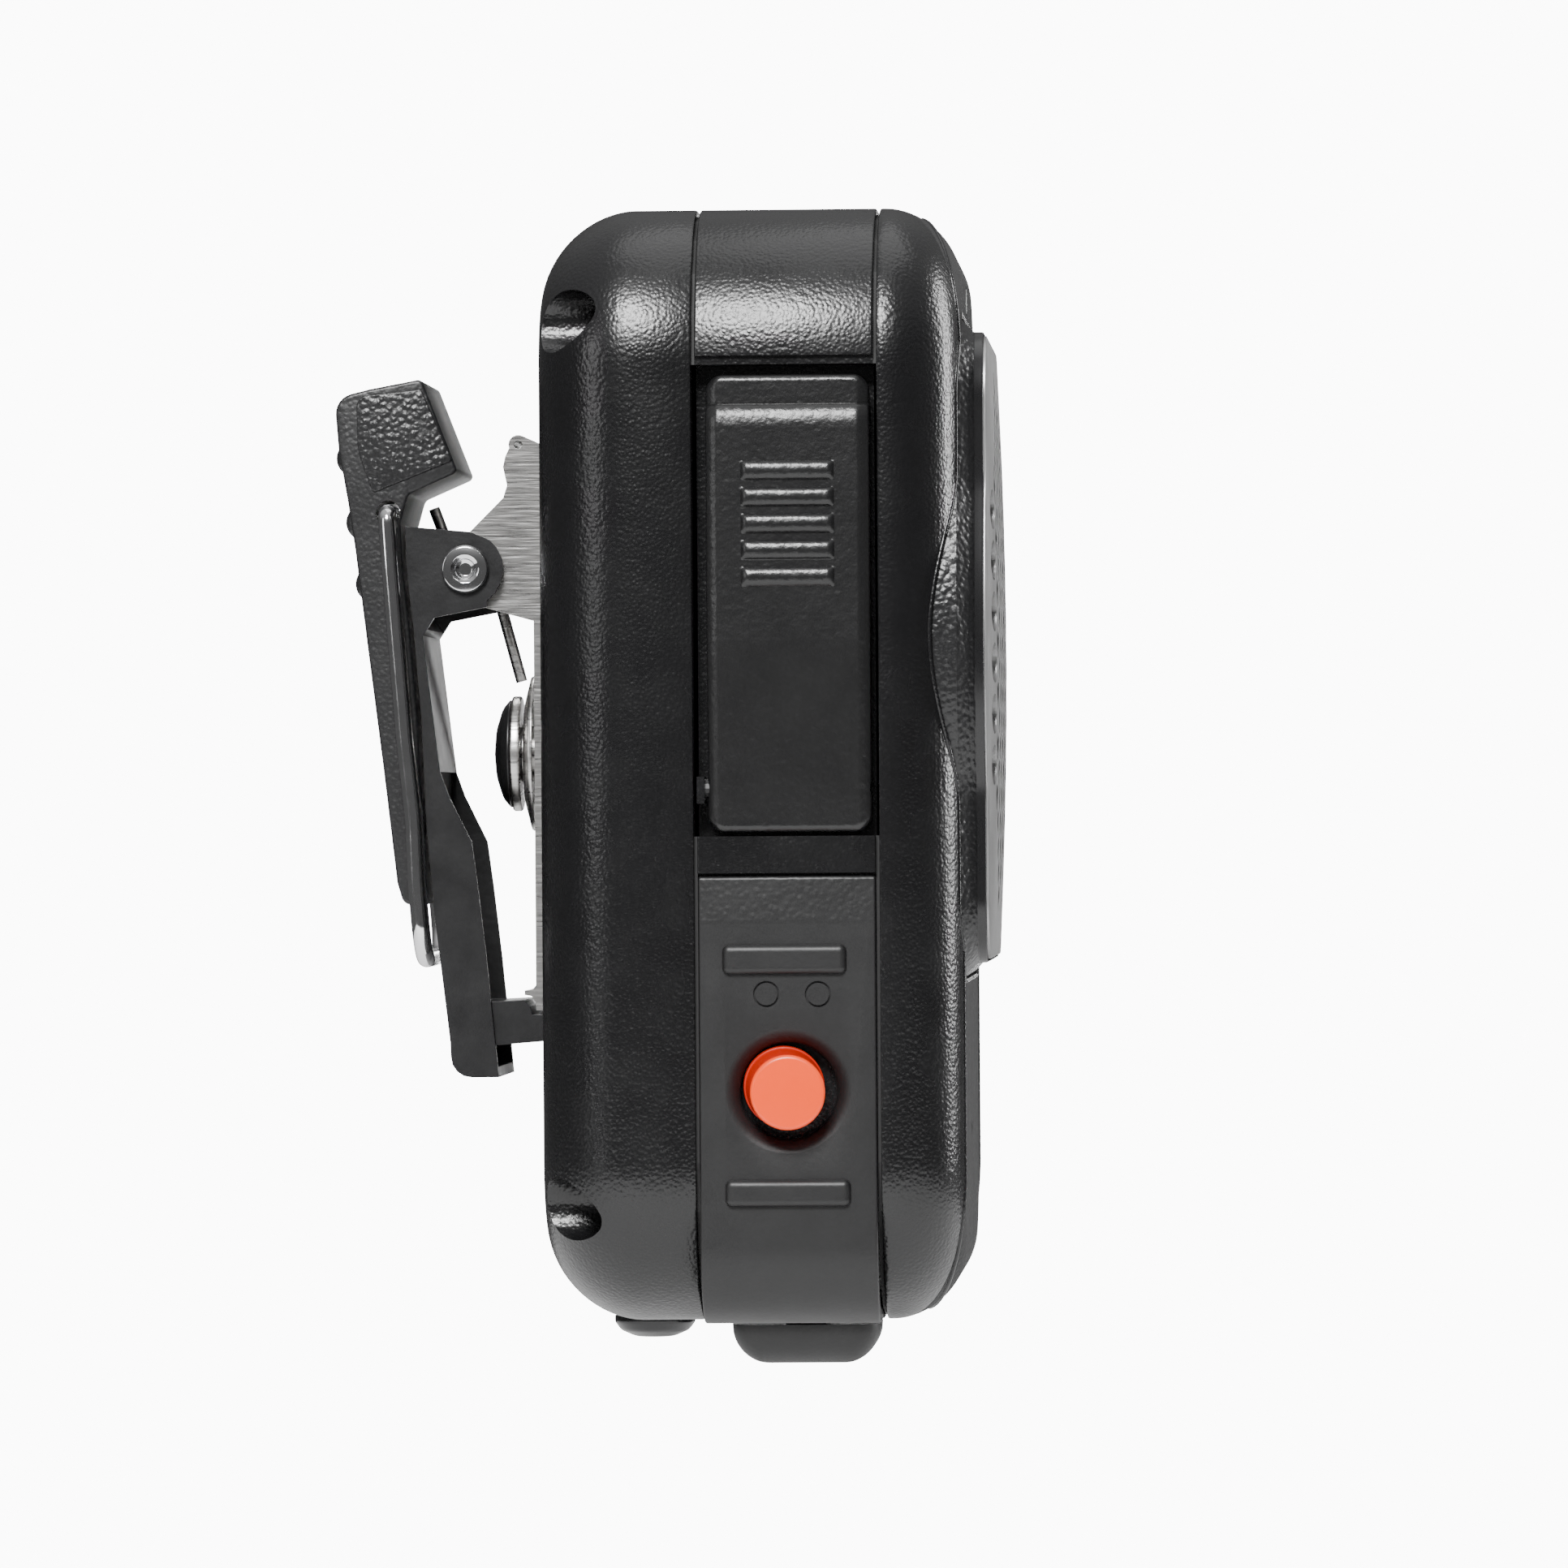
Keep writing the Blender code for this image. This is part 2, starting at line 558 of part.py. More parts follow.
speaker_bezel = outline_solid("speaker_bezel", bezel_outline(0), BEZEL_FACE, BEZEL_BACK, "Y", PANEL)
shoulder = speaker_bezel.modifiers.new("shoulder", "BEVEL")
shoulder.width = BEZEL_EDGE * MM
shoulder.segments = 2
shoulder.limit_method = "ANGLE"
shoulder.angle_limit = math.radians(60)
cut(speaker_bezel, outline_solid("grille_seat", bezel_outline(GRILLE_INSET - GAP), -40,
                                 GRILLE_RIM + GRILLE_SHEET + GAP, "Y"),
    outline_solid("bezel_opening", bezel_outline(BEZEL_RIM), -40, 0, "Y"))


def grille_rise(x, z):
    """How far the grille stands above its rim: a low dome that falls to nothing at its four sides."""
    half_height = (BEZEL_HIGH - BEZEL_LOW) / 2
    across = max(0.0, 1 - (x / BULGE_RADIUS) ** 2)
    along = max(0.0, 1 - ((z - (BEZEL_HIGH + BEZEL_LOW) / 2) / half_height) ** 2)
    return GRILLE_RISE * across * along


dome = bmesh.new()
bmesh.ops.create_grid(dome, x_segments=6, y_segments=6, size=1.0)
for vert in dome.verts:
    x = vert.co.x * (BULGE_RADIUS + 1)
    z = (BEZEL_LOW + BEZEL_HIGH) / 2 + vert.co.y * ((BEZEL_HIGH - BEZEL_LOW) / 2 + 1)
    vert.co = (x, GRILLE_RIM - grille_rise(x, z), z)
speaker_grille = from_bmesh("speaker_grille", dome, GRILLE)
sheet = speaker_grille.modifiers.new("sheet", "SOLIDIFY")
sheet.thickness = GRILLE_SHEET * MM
sheet.offset = -1
keep(speaker_grille, outline_solid("grille_shape", bezel_outline(GRILLE_INSET), -40, 0, "Y"))
hole_places = [(i * GRILLE_PITCH * math.sqrt(3) / 2, j * GRILLE_PITCH + (i % 2) * GRILLE_PITCH / 2)
               for i in range(-5, 6) for j in range(-6, 6)]
hole_places = [(x, z) for x, z in hole_places if math.hypot(x, z) < BULGE_RADIUS - BEZEL_RIM]
drills = bmesh.new()
for x, z in hole_places:
    made = bmesh.ops.create_cone(drills, cap_ends=True, segments=6, radius1=GRILLE_HOLE, radius2=GRILLE_HOLE,
                                 depth=8)["verts"]
    bmesh.ops.transform(drills, matrix=Matrix.Translation((x, GRILLE_RIM, z + SPEAKER_Z)) @ AXES["Y"],
                        verts=made)
cut(speaker_grille, from_bmesh("grille_drills", drills, None))

grille_cloth = outline_solid("grille_cloth", bezel_outline(BEZEL_RIM + GAP), BEZEL_BACK - 0.35,
                             BEZEL_BACK + GAP, "Y",
                             CLOTH)
gasket_back = inner_face + 0.7
turned("speaker_gasket", (0, SPEAKER_Z), [(SPEAKER_RADIUS, inner_face), (SPEAKER_RADIUS, gasket_back),
                                          (SOUND_HOLE + GAP, gasket_back), (SOUND_HOLE + GAP, inner_face)],
                                          FOAM)
basket_depth = 5.0
turned("speaker_basket", (0, SPEAKER_Z),
       [(SPEAKER_RADIUS, gasket_back), (SPEAKER_RADIUS, gasket_back + 0.7),
        (SPEAKER_RADIUS - 1.8, gasket_back + 0.9),
        (MAGNET_RADIUS + 0.9, gasket_back + basket_depth), (3.0, gasket_back + basket_depth),
        (3.0, gasket_back + basket_depth - 0.7), (MAGNET_RADIUS + 0.5, gasket_back + basket_depth - 0.7),
        (SPEAKER_RADIUS - 2.4, gasket_back + 0.3), (SPEAKER_RADIUS - 1.8, gasket_back)], BLACK_STEEL)
turned("speaker_cone", (0, SPEAKER_Z),
       [(SPEAKER_RADIUS - 2.6, gasket_back), (SPEAKER_RADIUS - 3.0, gasket_back + 0.35),
        (MAGNET_RADIUS + 0.1, gasket_back + 3.9), (2.4, gasket_back + 3.9), (2.4, gasket_back + 3.5),
        (MAGNET_RADIUS - 0.1, gasket_back + 3.5), (SPEAKER_RADIUS - 3.2, gasket_back)], CLOTH)
magnet_front = gasket_back + basket_depth + GAP
rod("speaker_magnet", (0, SPEAKER_Z), "Y", MAGNET_RADIUS, magnet_front, magnet_front + MAGNET_LENGTH, STEEL)

# ---------------------------------------------------------------- seals


def seal(name, low, high):
    """A flat ring between two shells, set back from the outside so that the seam shows as a fine groove."""
    outer, inner = SEAM_DEPTH, SEAM_DEPTH + 0.95
    ring = slab(name, BODY_HALF - outer, outer, BODY_HEIGHT - outer, BODY_CORNER - outer, low, high, 0, RUBBER)
    return cut(ring, slab(f"{name}_inside", BODY_HALF - inner, inner, BODY_HEIGHT - inner, BODY_CORNER - inner,
                          low - 1, high + 1))


rear_seal = seal("rear_seal", BAND_REAR, rear_flat)
front_seal = seal("front_seal", front_flat, BAND_FRONT)
cut(rear_seal, block("rear_seal_window", (-BODY_HALF - 3, 0, PTT_WINDOW[0]),
                     (-BODY_HALF + 9, 20, PTT_WINDOW[1])))
cut(front_seal, block("front_seal_window", (-BODY_HALF - 3, -20, PTT_WINDOW[0]),
                      (-BODY_HALF + 9, 0, PTT_WINDOW[1])))

# ---------------------------------------------------------------- push-to-talk key

ptt_outline = rounded([(PTT_FRONT, PTT_LOW, 1.2), (PTT_REAR, PTT_LOW, 1.2), (PTT_REAR, PTT_HIGH, 3.0),
                       (PTT_FRONT, PTT_HIGH, 1.2)])
ptt_button = outline_solid("ptt_button", ptt_outline, PTT_OUT, PTT_OUT + PTT_THICK, "X", KEY, ptt_axis,
                           edge=0.5)
switch_face = PTT_FLOOR - SWITCH_BUTTON
join(ptt_button, rod("ptt_post", (0, PTT_SWITCH_Z), "X", 1.5, PTT_OUT + 1, switch_face - PTT_TRAVEL - GAP,
                     sides=12))
for i in range(5):
    rib_z = PTT_SWITCH_Z + 2.9 - RIB_PITCH * i
    join(ptt_button, block(f"ptt_rib_{i + 1}", (PTT_OUT - 0.35, PTT_FRONT + 3.0, rib_z - 0.8),
                           (PTT_OUT + 1, PTT_REAR - 3.0, rib_z + 0.8)))
cut(ptt_button, rod("key_pin_hole", (PTT_PIN_X, PTT_PIN_Z), "Y", PTT_PIN_RADIUS + GAP, -20, 20, sides=12),
    block("lug_room", (PTT_FLOOR - 3.6, front_lug_y[0] - 0.6, PTT_PIN_Z - 2.4),
          (PTT_FLOOR, front_lug_y[1] + 0.6, PTT_PIN_Z + 2.4)))
rod("ptt_hinge_pin", (PTT_PIN_X, PTT_PIN_Z), "Y", PTT_PIN_RADIUS, front_lug_y[0] - 1.1, BAND_REAR - 0.1, STEEL,
    sides=12)
rod("ptt_switch", (0, PTT_SWITCH_Z), "X", 2.6, switch_face, PTT_FLOOR, STEEL)

# ---------------------------------------------------------------- rubber keypad, emergency button

side_keypad = slab("side_keypad", BODY_HALF, 0, BODY_HEIGHT, BODY_CORNER, BAND_FRONT, BAND_REAR, 0, RUBBER)
keep(side_keypad, block("keypad_zone", (-BODY_HALF - 2, -20, -2), (PAD_END_X, 20, PAD_TOP)))
cut(side_keypad, slab("keypad_core", BODY_HALF - PAD_SKIN, PAD_SKIN, BODY_HEIGHT, BODY_CORNER - PAD_SKIN, -22,
                      22))
for i, (y, z, half_y, half_z) in enumerate(PAD_BARS, 1):
    join(side_keypad, block(f"pad_bar_{i}", (-BODY_HALF - 0.6, y - half_y, z - half_z),
                            (-BODY_HALF + 0.8, y + half_y, z + half_z), edge=0.4))
ring_profile = [(RING_RADIUS + 0.35, -BODY_HALF + 0.25), (RING_RADIUS + 0.35, -BODY_HALF - 1),
                (RING_RADIUS, -BODY_HALF - 1), (RING_RADIUS, -BODY_HALF + 0.25)]
cut(side_keypad, rod("button_well", (BUTTON_Y, BUTTON_Z), "X", BUTTON_WELL, -BODY_HALF - 3, -BODY_HALF + 9,
                     sides=24),
    *[turned(f"pad_ring_{i}", place, ring_profile, axis="X", steps=12) for i, place in enumerate(PAD_RINGS, 1)])
band_inner = -BODY_HALF + BAND_SIDE_WALL
emergency_face = band_inner + 2.0
stem_end = emergency_face - BUTTON_TRAVEL - GAP
turned("emergency_button", (BUTTON_Y, BUTTON_Z),
       [(0, BUTTON_OUT), (1.8, BUTTON_OUT + 0.1), (2.8, BUTTON_OUT + 0.4), (BUTTON_RADIUS, BUTTON_OUT + 1.1),
        (BUTTON_RADIUS, BUTTON_SEAT), (BUTTON_FLANGE, BUTTON_SEAT + 0.15), (BUTTON_FLANGE, BUTTON_SEAT + 0.75),
        (BUTTON_STEM, BUTTON_SEAT + 0.75), (BUTTON_STEM, stem_end), (0, stem_end)],
       ORANGE, emergency_axis, axis="X")
emergency_switch = block("emergency_switch", (emergency_face, BUTTON_Y - SWITCH_HALF, BUTTON_Z - SWITCH_HALF),
                         (emergency_face + 2.4, BUTTON_Y + SWITCH_HALF, BUTTON_Z + SWITCH_HALF), BLACK_STEEL)
for i, foot_z in enumerate((BUTTON_Z - SWITCH_HALF, BUTTON_Z + SWITCH_HALF), 1):
    join(emergency_switch, block(f"switch_foot_{i}", (band_inner, BUTTON_Y - SWITCH_HALF, foot_z - 0.6),
                                 (emergency_face + 1, BUTTON_Y + SWITCH_HALF, foot_z + 0.6)))

# ---------------------------------------------------------------- keys on the other side

for name, z, half in SIDE_KEYS:
    key_axis = empty_at(f"{name}_axis", (BODY_HALF, 0, z), radio)
    cap = rounded([(-KEY_HALF_DEPTH, z - half, 1.2), (KEY_HALF_DEPTH, z - half, 1.2),
                   (KEY_HALF_DEPTH, z + half, 1.2),
                   (-KEY_HALF_DEPTH, z + half, 1.2)], 3)
    key = outline_solid(name, cap, KEY_INNER, KEY_OUT, "X", RUBBER, key_axis, edge=0.4)
    join(key, block(f"{name}_flange", (KEY_INNER, -KEY_HALF_DEPTH - KEY_FLANGE, z - half - KEY_FLANGE),
                    (KEY_INNER + 1.0, KEY_HALF_DEPTH + KEY_FLANGE, z + half + KEY_FLANGE)))
board_face = KEY_INNER - 2.0
board_y = (-4.5, 3.4)
board_low = SIDE_KEYS[-1][1] - 7.0
board_high = SIDE_KEYS[0][1] + 8.0
side_key_board = block("side_key_board", (board_face - 0.9, board_y[0], board_low),
                       (board_face, board_y[1], board_high),
                       BOARD_GREEN)
join(side_key_board, *[block(f"dome_{i}", (board_face - 0.4, -1.6, z - 1.6),
                             (KEY_INNER - KEY_TRAVEL - 0.4, 1.6, z + 1.6))
                       for i, (_, z, _) in enumerate(SIDE_KEYS, 1)],
     *[block(f"board_foot_{i}", (board_face - 0.4, board_y[0], foot),
             (BODY_HALF - BAND_SIDE_WALL, board_y[1], foot + 1.5))
       for i, foot in enumerate((board_low, board_high - 1.5), 1)])

# ---------------------------------------------------------------- underside: port cover and jack plug

port_cover = block("usb_port_cover", (-PORT_COVER_HALF[0], PORT_Y - PORT_COVER_HALF[1], PORT_COVER_LOW),
                   (PORT_COVER_HALF[0], PORT_Y + PORT_COVER_HALF[1], -1.0), RUBBER, port_axis, edge=0.9)
join(port_cover, block("cover_neck", (-PORT_HALF[0], PORT_Y - PORT_HALF[1], -2),
                       (PORT_HALF[0], PORT_Y + PORT_HALF[1], 2)))
usb_connector = block("usb_connector", (-PORT_HALF[0] - 0.3, PORT_Y - PORT_HALF[1] - 0.1, BAND_END_WALL + GAP),
                      (PORT_HALF[0] + 0.3, PORT_Y + PORT_HALF[1] + 0.1, 9.4), STEEL, edge=0.8)
cut(usb_connector, block("usb_mouth", (-PORT_HALF[0] + 0.3, PORT_Y - PORT_HALF[1] + 0.5, 1),
                         (PORT_HALF[0] - 0.3, PORT_Y + PORT_HALF[1] - 0.5, 8)))

turned("jack_plug", (0, JACK_Y),
       [(0, JACK_STEM_TOP), (JACK_STEM, JACK_STEM_TOP), (JACK_STEM, -GAP), (JACK_RADIUS, -GAP),
                                  (JACK_RADIUS, -0.9), (3.0, -1.6), (1.9, -2.1), (0, -JACK_DROP)],
       PANEL, jack_axis, axis="Z")
audio_jack = block("audio_jack", (-3.6, JACK_Y - 3.9, JACK_STEM_TOP + GAP), (3.6, JACK_Y + 2.9, 13),
                   BLACK_STEEL)
cut(audio_jack, rod("jack_bore", (0, JACK_Y), "Z", 1.8, 1, 11, sides=12))
join(audio_jack, *[block(f"jack_foot_{i}", (side - 0.5, JACK_Y - 3.9, REAR_WALL), (side + 0.5, JACK_Y - 1.0, 5))
                   for i, side in enumerate((-3.1, 3.1), 1)])

# ---------------------------------------------------------------- board, battery and small parts inside

main_board = slab("main_board", BOARD_HALF, BOARD_Z[0], BOARD_Z[1], 2.0, BOARD[0], BOARD[1], 0, BOARD_GREEN)
cut(main_board, *[rod(f"board_hole_{i}", place, "Y", POST_HOLE, 0, 9, sides=8)
                 for i, place in enumerate(POST_PLACES, 1)])
join(main_board, block("processor_can", (-9, 2.2, 16), (11, 4.5, 34)),
     block("radio_can", (-12, 5, 20), (10, 7.4, 38)))
for i, place in enumerate(POST_PLACES, 1):
    screw = rod(f"board_screw_{i}", place, "Y", 1.9, BOARD[1], BOARD[1] + 1.3, STEEL, sides=12)
    join(screw, rod(f"board_shank_{i}", place, "Y", POST_HOLE - GAP, -3, BOARD[1] + 0.5, sides=8))
battery_pack = block("battery_pack", (-BATTERY_HALF, BATTERY_Y[0], BATTERY_Z[0]),
                     (BATTERY_HALF, BATTERY_Y[1], BATTERY_Z[1]), CELL, edge=1.2)
battery_pad = block("battery_pad", (2 - BATTERY_HALF, BATTERY_Y[1] + GAP, BATTERY_Z[0] + 3),
                    (BATTERY_HALF - 2, REAR_FACE - REAR_WALL, BATTERY_Z[1] - 3.6), FOAM)
cut(battery_pad, rod("pad_hole", (0, SWIVEL_Z), "Y", 6.6, 0, 40))
battery_contacts = block("battery_contacts", (-5, BOARD[1], BATTERY_Z[1] + GAP),
                         (5, BATTERY_Y[1] - 2.3, BATTERY_Z[1] + 3.4),
                         PANEL)
rod("microphone_capsule", (0, MIC_Z), "Y", 3.0, inner_face, inner_face + 2.4, STEEL)
block("internal_antenna", (-15, -4, BODY_HEIGHT - BAND_END_WALL - 0.8), (15, 5, BODY_HEIGHT - BAND_END_WALL),
      BOARD_GREEN)
light_flange = LIGHT_RADIUS + 0.9
turned("status_light", (0, LIGHT_Z),
       [(0, inner_face + 1.1), (light_flange, inner_face + 1.1), (light_flange, inner_face + GAP),
        (LIGHT_RADIUS, inner_face + GAP), (LIGHT_RADIUS, FRONT_FACE), (0, FRONT_FACE)], CHROME, steps=12)

for i, place in enumerate(SCREW_PLACES, 1):
    screw = turned(f"housing_screw_{i}", place,
                   [(0, SCREW_TIP), (SCREW_SHANK, SCREW_TIP + 0.6), (SCREW_SHANK, POCKET_FLOOR),
                    (SCREW_HEAD, POCKET_FLOOR), (SCREW_HEAD, POCKET_FLOOR + 1.2),
                    (1.5, POCKET_FLOOR + SCREW_HEAD_LENGTH), (0, POCKET_FLOOR + SCREW_HEAD_LENGTH)], STEEL,
                    steps=12)
    cut(screw, block(f"drive_a_{i}", (place[0] - 1.3, POCKET_FLOOR + 0.7, place[1] - 0.3),
                     (place[0] + 1.3, POCKET_FLOOR + 3, place[1] + 0.3)),
        block(f"drive_b_{i}", (place[0] - 0.3, POCKET_FLOOR + 0.7, place[1] - 1.3),
              (place[0] + 0.3, POCKET_FLOOR + 3, place[1] + 1.3)))

# ---------------------------------------------------------------- swivel

disc_inner = PLATE_OUTER + 1.6
disc_outer = disc_inner + 0.9
dome_top = disc_outer + 1.6
tail = REAR_FACE - REAR_WALL - 1.0
turned("swivel_rivet", (0, SWIVEL_Z),
       [(0, tail - 1.4), (4.0, tail - 1.4), (4.0, tail - GAP), (RIVET_SHANK, tail - GAP),
        (RIVET_SHANK, disc_inner),
        (RIVET_HEAD, disc_inner), (RIVET_HEAD, disc_outer), (4.0, disc_outer + 0.75), (2.4, disc_outer + 1.3),
        (0, dome_top)], BLACK_STEEL)
turned("rivet_backing_washer", (0, SWIVEL_Z), [(6.0, tail), (6.0, REAR_FACE - REAR_WALL - GAP),
                                               (RIVET_HOLE, REAR_FACE - REAR_WALL - GAP), (RIVET_HOLE, tail)],
       STEEL)
turned("spring_washer", (0, SWIVEL_Z),
       [(WASHER_RADIUS, PLATE_OUTER + GAP), (WASHER_RADIUS - 0.2, PLATE_OUTER + 0.75),
                                        (4.6, disc_inner - GAP), (RIVET_HOLE, disc_inner - GAP),
                                        (RIVET_HOLE, disc_inner - 0.7), (4.4, disc_inner - 0.7)],
       STEEL, swivel)

# ---------------------------------------------------------------- clip bracket

roll = (PLATE_OUTER + 1.25, 76.15)
bracket_outline = (
    clip_points([(-SHEET, 26.7), (0, 26.7), (0.05, 27.4), (0.4, 27.95), (1.0, 28.05), (1.0, 28.45),
                 (0.3, 28.55),
                 (0, 28.9), (0, 60.75), (4.0, 61.85), (7.1, 63.0)])
    + arc(PIVOT, 2.4, -45, 50, 4)
    + clip_points([(5.6, 68.5), (2.6, 71.5), (2.25, 72.6), (2.6, 74.2), (2.4, 75.1)])
    + arc(roll, 0.85, -20, 120, 7) + clip_points([(-SHEET, 76.2)]))
clip_bracket = outline_solid("clip_bracket", bracket_outline, -BRACKET_HALF, BRACKET_HALF, "X", STEEL, swivel)
bracket_middle = outline_solid(
    "bracket_middle", clip_points([(0, 60), (10.1, 60), (10.1, 75.2), (0, 75.2)]),
    -BRACKET_HALF + SHEET, BRACKET_HALF - SHEET)
cut(clip_bracket, bracket_middle, rod("roll_bore", roll, "X", 0.38, -20, 20, sides=8),
    rod("plate_hole", (0, SWIVEL_Z), "Y", RIVET_HOLE, PLATE_INNER - 4, PLATE_OUTER + 1),
    rod("bracket_pin_hole", PIVOT, "X", PIN_RADIUS + GAP, -20, 20))

# ---------------------------------------------------------------- clip pivot pin and spring

pin_end = LEVER_HALF + 0.75
pin_flange = PIN_RADIUS + 0.65
turned("clip_pivot_pin", PIVOT,
       [(PIN_RADIUS, pin_end - 0.4), (pin_flange, pin_end - 0.4), (pin_flange - 0.2, pin_end),
        (PIN_BORE, pin_end),
        (PIN_BORE, -pin_end), (pin_flange - 0.2, -pin_end), (pin_flange, -pin_end + 0.4),
        (PIN_RADIUS, -pin_end + 0.4)], CHROME, swivel, axis="X", steps=16)

turns, pitch, per_turn = 5.5, 1.25, 8
coil_start = math.radians(-160)
coil = [(-pitch * turns / 2 + pitch * i / per_turn,
         PIVOT[0] + SPRING_RADIUS * math.cos(coil_start + 2 * math.pi * i / per_turn),
         PIVOT[1] + SPRING_RADIUS * math.sin(coil_start + 2 * math.pi * i / per_turn))
        for i in range(round(turns * per_turn) + 1)]
first, last = coil[0], coil[-1]
spring_points = ([(first[0], PLATE_OUTER + 1.4, 55.5), (first[0], first[1] + 0.1, first[2] + 0.9)] + coil
                 + [(last[0], PLATE_OUTER + 8.7, 68.6), (last[0], PLATE_OUTER + 9.6, 71.0)])
wire("clip_spring", spring_points, SPRING_WIRE, STEEL, swivel, sides=1)

# ---------------------------------------------------------------- clip lever and its cover

lever_outline = (
    clip_points([(11.1, 69.05), (11.0, 65.3), (10.45, 60.3), (9.8, 52.35), (9.4, 42.7), (8.8, 35.5),
                 (8.37, 31.5),
                 (7.45, 24.0)])
    + arc((PLATE_OUTER + 5.6, 22.7), 1.8, 0, -90, 4)
    + clip_points([(3.24, 20.9), (3.52, 23.9), (4.22, 31.05), (4.91, 37.15), (5.48, 41.46), (7.42, 45.42),
                   (8.2, 47.58), (8.81, 52.63), (9.63, 59.5), (8.61, 61.07), (4.0, 61.95)])
    + arc(PIVOT, 3.3, -125, -230, 6)
    + clip_points([(5.42, 68.52)]))
clip_lever = outline_solid("clip_lever", lever_outline, -LEVER_HALF, LEVER_HALF, "X", BLACK_STEEL, lever_axis)
inner = LEVER_HALF - LEVER_SHEET
ear_room = outline_solid("ear_room",
                         clip_points([(0.1, 59.9), (9.2, 59.9), (10.2, 61.6), (10.2, 71), (0.1, 71)]),
                         -inner, inner)
jaw_room = outline_solid("jaw_room",
                         clip_points([(0.1, 47.6), (8.6, 47.6), (8.5, 42.7), (7.5, 31.5), (6.5, 24.0),
                                                  (6.3, 21.8), (0.1, 21.8)]), -inner, inner)
tooth = outline_solid("tooth", clip_points([(7.1, 27.35), (1.06, 27.6), (0.5, 27.1), (0.3, 26.35),
                                            (-1.15, 26.3),
                                            (-1.15, 24.05), (7.1, 23.4)]), -inner - 0.2, inner + 0.2)
cut(clip_lever, ear_room, jaw_room, rod("lever_pin_hole", PIVOT, "X", PIN_RADIUS + GAP, -20, 20))
join(clip_lever, tooth)

cover_outline = (
    rounded([(*clip_points([(9.6, 81.9)])[0], 0), (*clip_points([(14.2, 81.05)])[0], 0),
             (*clip_points([(17.25, 80.3)])[0], 1.6), (*clip_points([(16.88, 75.7)])[0], 0)], 3)
    + clip_points([(16.12, 71.3), (15.5, 67.1), (14.94, 62.5), (14.4, 58.0), (13.17, 48.05), (12.56, 42.74),
                   (12.01, 37.9), (11.7, 36.7), (11.2, 36.0), (9.3, 36.0), (9.75, 42.7), (10.15, 52.35),
                   (10.8, 60.3), (11.35, 65.3), (11.5, 69.4), (10.8, 71.85), (6.45, 73.75)]))
lever_cover = outline_solid("lever_cover", cover_outline, -LEVER_HALF, LEVER_HALF, "X", HOUSING, lever_axis,
                            edge=0.5)
join(lever_cover, *[rod(f"thumb_rib_{i}", place, "X", 1.6, 1.8 - LEVER_HALF, LEVER_HALF - 1.8, sides=12)
                    for i, place in enumerate(clip_points(((15.7, 75.1), (14.9, 69.5), (14.1, 64.1))), 1)])
cut(lever_cover, rod("bail_hole", BAIL_PIVOT, "X", BAIL_WIRE + GAP, -20, 20, sides=12))

# ---------------------------------------------------------------- wire bail


def bail_side(side):
    """One side of the bail, from its end in the cover down to the middle of the cross wire."""
    top = [(side * (LEVER_HALF - 3.5), *BAIL_PIVOT), (side * (BAIL_HALF - 0.6), *BAIL_PIVOT),
           (side * (BAIL_HALF - 0.1), BAIL_PIVOT[0] - 0.05, BAIL_PIVOT[1] - 0.5)]
    leg = [(side * BAIL_HALF, *point) for point in clip_points(((12.3, 65.3), (11.1, 50.0), (10.4, 43.5),
                                                               (10.2, 38.0), (10.1, 35.0)))]
    bend_y, bend_z, corner = PLATE_OUTER + 10.1, 35.0, 3.2
    bend = [(side * (BAIL_HALF - corner + corner * math.cos(a)), bend_y - 0.45 * math.sin(a),
             bend_z - 3.7 * math.sin(a))
            for a in (math.radians(angle) for angle in (22, 45, 68, 90))]
    return top + leg + bend


wire("clip_bail", bail_side(-1) + list(reversed(bail_side(1))), BAIL_WIRE, CHROME, bail_axis)
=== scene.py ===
"""A body-worn radio with a push-to-talk key and a swivelling spring clip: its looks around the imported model.

Sizes are in millimetres in the radio's own frame: X across the body, Y from front (-) to rear (+), and Z up
from the underside. X and Y are zero in the middle of the side band. Clip points are (out, z), measured out
from the outer face of the clip's plate.
"""

import json
import math

import bmesh
import bpy
import numpy as np
from mathutils import Matrix, Vector

